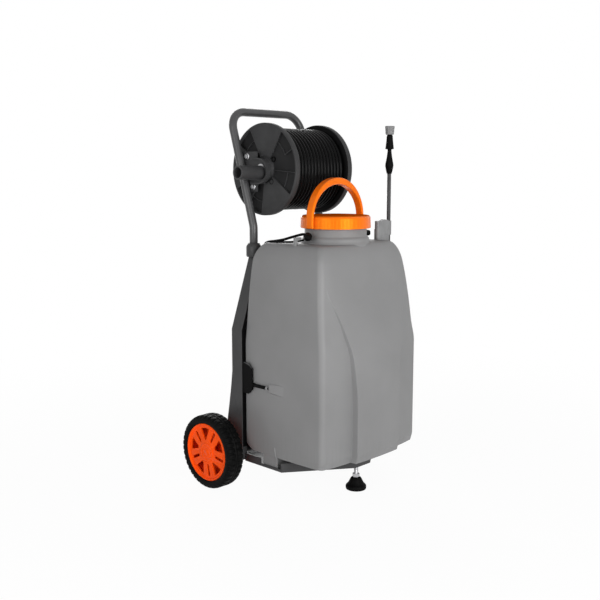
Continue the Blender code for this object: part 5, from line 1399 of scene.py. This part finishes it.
class CART_OT_stage(bpy.types.Operator):
    """Set the pale floor, the soft studio lamps and the camera"""
    bl_idname = "cart.stage"
    bl_label = "Stage"

    def execute(self, context):
        stage = context.scene.cart_stage
        scene = context.scene
        scene.view_settings.view_transform = "Standard"
        self.floor(stage)
        self.sky(scene, stage)
        self.lamp("key_lamp", (-0.61, -2.60, 0.85), (0.0, -0.08, 0.45), (1.4, 1.3), stage.key)
        self.lamp("fill_lamp", (-2.50, -0.60, 0.95), (0.0, -0.08, 0.45), (1.2, 1.3), stage.fill)
        self.lamp("back_lamp", (1.75, 2.35, 1.45), (0.0, 0.05, 0.45), (1.4, 1.4), stage.back)
        camera = bpy.data.objects.new("camera", bpy.data.cameras.new("camera"))
        scene.collection.objects.link(camera)
        camera.data.lens = 52.475
        camera.data.sensor_width = 36.0
        camera.location = (-1.72984, -1.75703 + AXLE.y, 0.85006)
        camera.rotation_euler = (radians(81.55), 0, radians(-45.92))
        scene.camera = camera
        return {"FINISHED"}

    def floor(self, stage):
        """Floor that is nearly white to the camera and still takes a faint shadow."""
        bm = bmesh.new()
        bmesh.ops.create_circle(bm, cap_ends=True, radius=30.0, segments=64)
        mesh = bpy.data.meshes.new("floor")
        bm.to_mesh(mesh)
        bm.free()
        floor = bpy.data.objects.new("floor", mesh)
        bpy.context.scene.collection.objects.link(floor)
        f = Finish("studio_floor")
        f.set(base_color=stage.floor, roughness=0.7, specular_ior_level=0.1)
        glow = f.node("ShaderNodeEmission", {}, {"Color": WHITE, "Strength": 1.0})
        reach = f.node("ShaderNodeVectorMath", {"operation": "LENGTH"}, {0: f.place}, "Value")
        share = f.seen() * (0.95 + 0.05 * reach.between(0.5, 2.0))
        f.show(share, Wire(f, f.shader.outputs[0]), glow, "Material Output")
        mesh.materials.append(f.material)

    def sky(self, scene, stage):
        """Even light from all round, shown as plain white."""
        world = bpy.data.worlds.new("studio_sky")
        world.use_nodes = True
        scene.world = world
        world.node_tree.nodes.remove(world.node_tree.nodes["Background"])
        graph = Graph(world.node_tree)
        light = graph.node("ShaderNodeBackground", {}, {"Color": WHITE, "Strength": stage.sky})
        white = graph.node("ShaderNodeBackground", {}, {"Color": WHITE, "Strength": 1.0})
        graph.show(graph.seen(), light, white, "World Output")

    def lamp(self, name, place, target, size, watts):
        """Soft rectangular lamp that points at a target."""
        data = bpy.data.lights.new(name, "AREA")
        data.shape = "RECTANGLE"
        data.size, data.size_y = size
        data.energy = watts
        lamp = bpy.data.objects.new(name, data)
        lamp.location = place
        lamp.rotation_euler = (Vector(target) - Vector(place)).to_track_quat("-Z", "Y").to_euler()
        bpy.context.scene.collection.objects.link(lamp)


class CART_PT_sidebar(bpy.types.Panel):
    """Lists the cart's building steps, sizes and colours"""
    bl_label = "Sprayer cart"
    bl_idname = "CART_PT_sidebar"
    bl_space_type = "VIEW_3D"
    bl_region_type = "UI"
    bl_category = "Sprayer cart"

    def draw(self, context):
        layout = self.layout
        for step in STEPS:
            layout.operator(step.bl_idname)
        for group in (context.scene.cart_sizes, context.scene.cart_colours, context.scene.cart_stage):
            for key in group.__annotations__:
                layout.prop(group, key)


STEPS = (CART_OT_stage, CART_OT_tank, CART_OT_lid, CART_OT_reel, CART_OT_hose, CART_OT_wheels, CART_OT_frame,
         CART_OT_handle, CART_OT_straps, CART_OT_lance, CART_OT_foot, CART_OT_power_box)
CLASSES = (CartSizes, CartColours, CartStage) + STEPS + (CART_PT_sidebar,)


def register():
    for cls in CLASSES:
        bpy.utils.register_class(cls)
    bpy.types.Scene.cart_sizes = bpy.props.PointerProperty(type=CartSizes)
    bpy.types.Scene.cart_colours = bpy.props.PointerProperty(type=CartColours)
    bpy.types.Scene.cart_stage = bpy.props.PointerProperty(type=CartStage)


def unregister():
    del bpy.types.Scene.cart_stage
    del bpy.types.Scene.cart_colours
    del bpy.types.Scene.cart_sizes
    for cls in reversed(CLASSES):
        bpy.utils.unregister_class(cls)


def main():
    register()
    for step in STEPS:
        group, name = step.bl_idname.split(".")
        getattr(getattr(bpy.ops, group), name)()


if __name__ == "__main__":
    main()
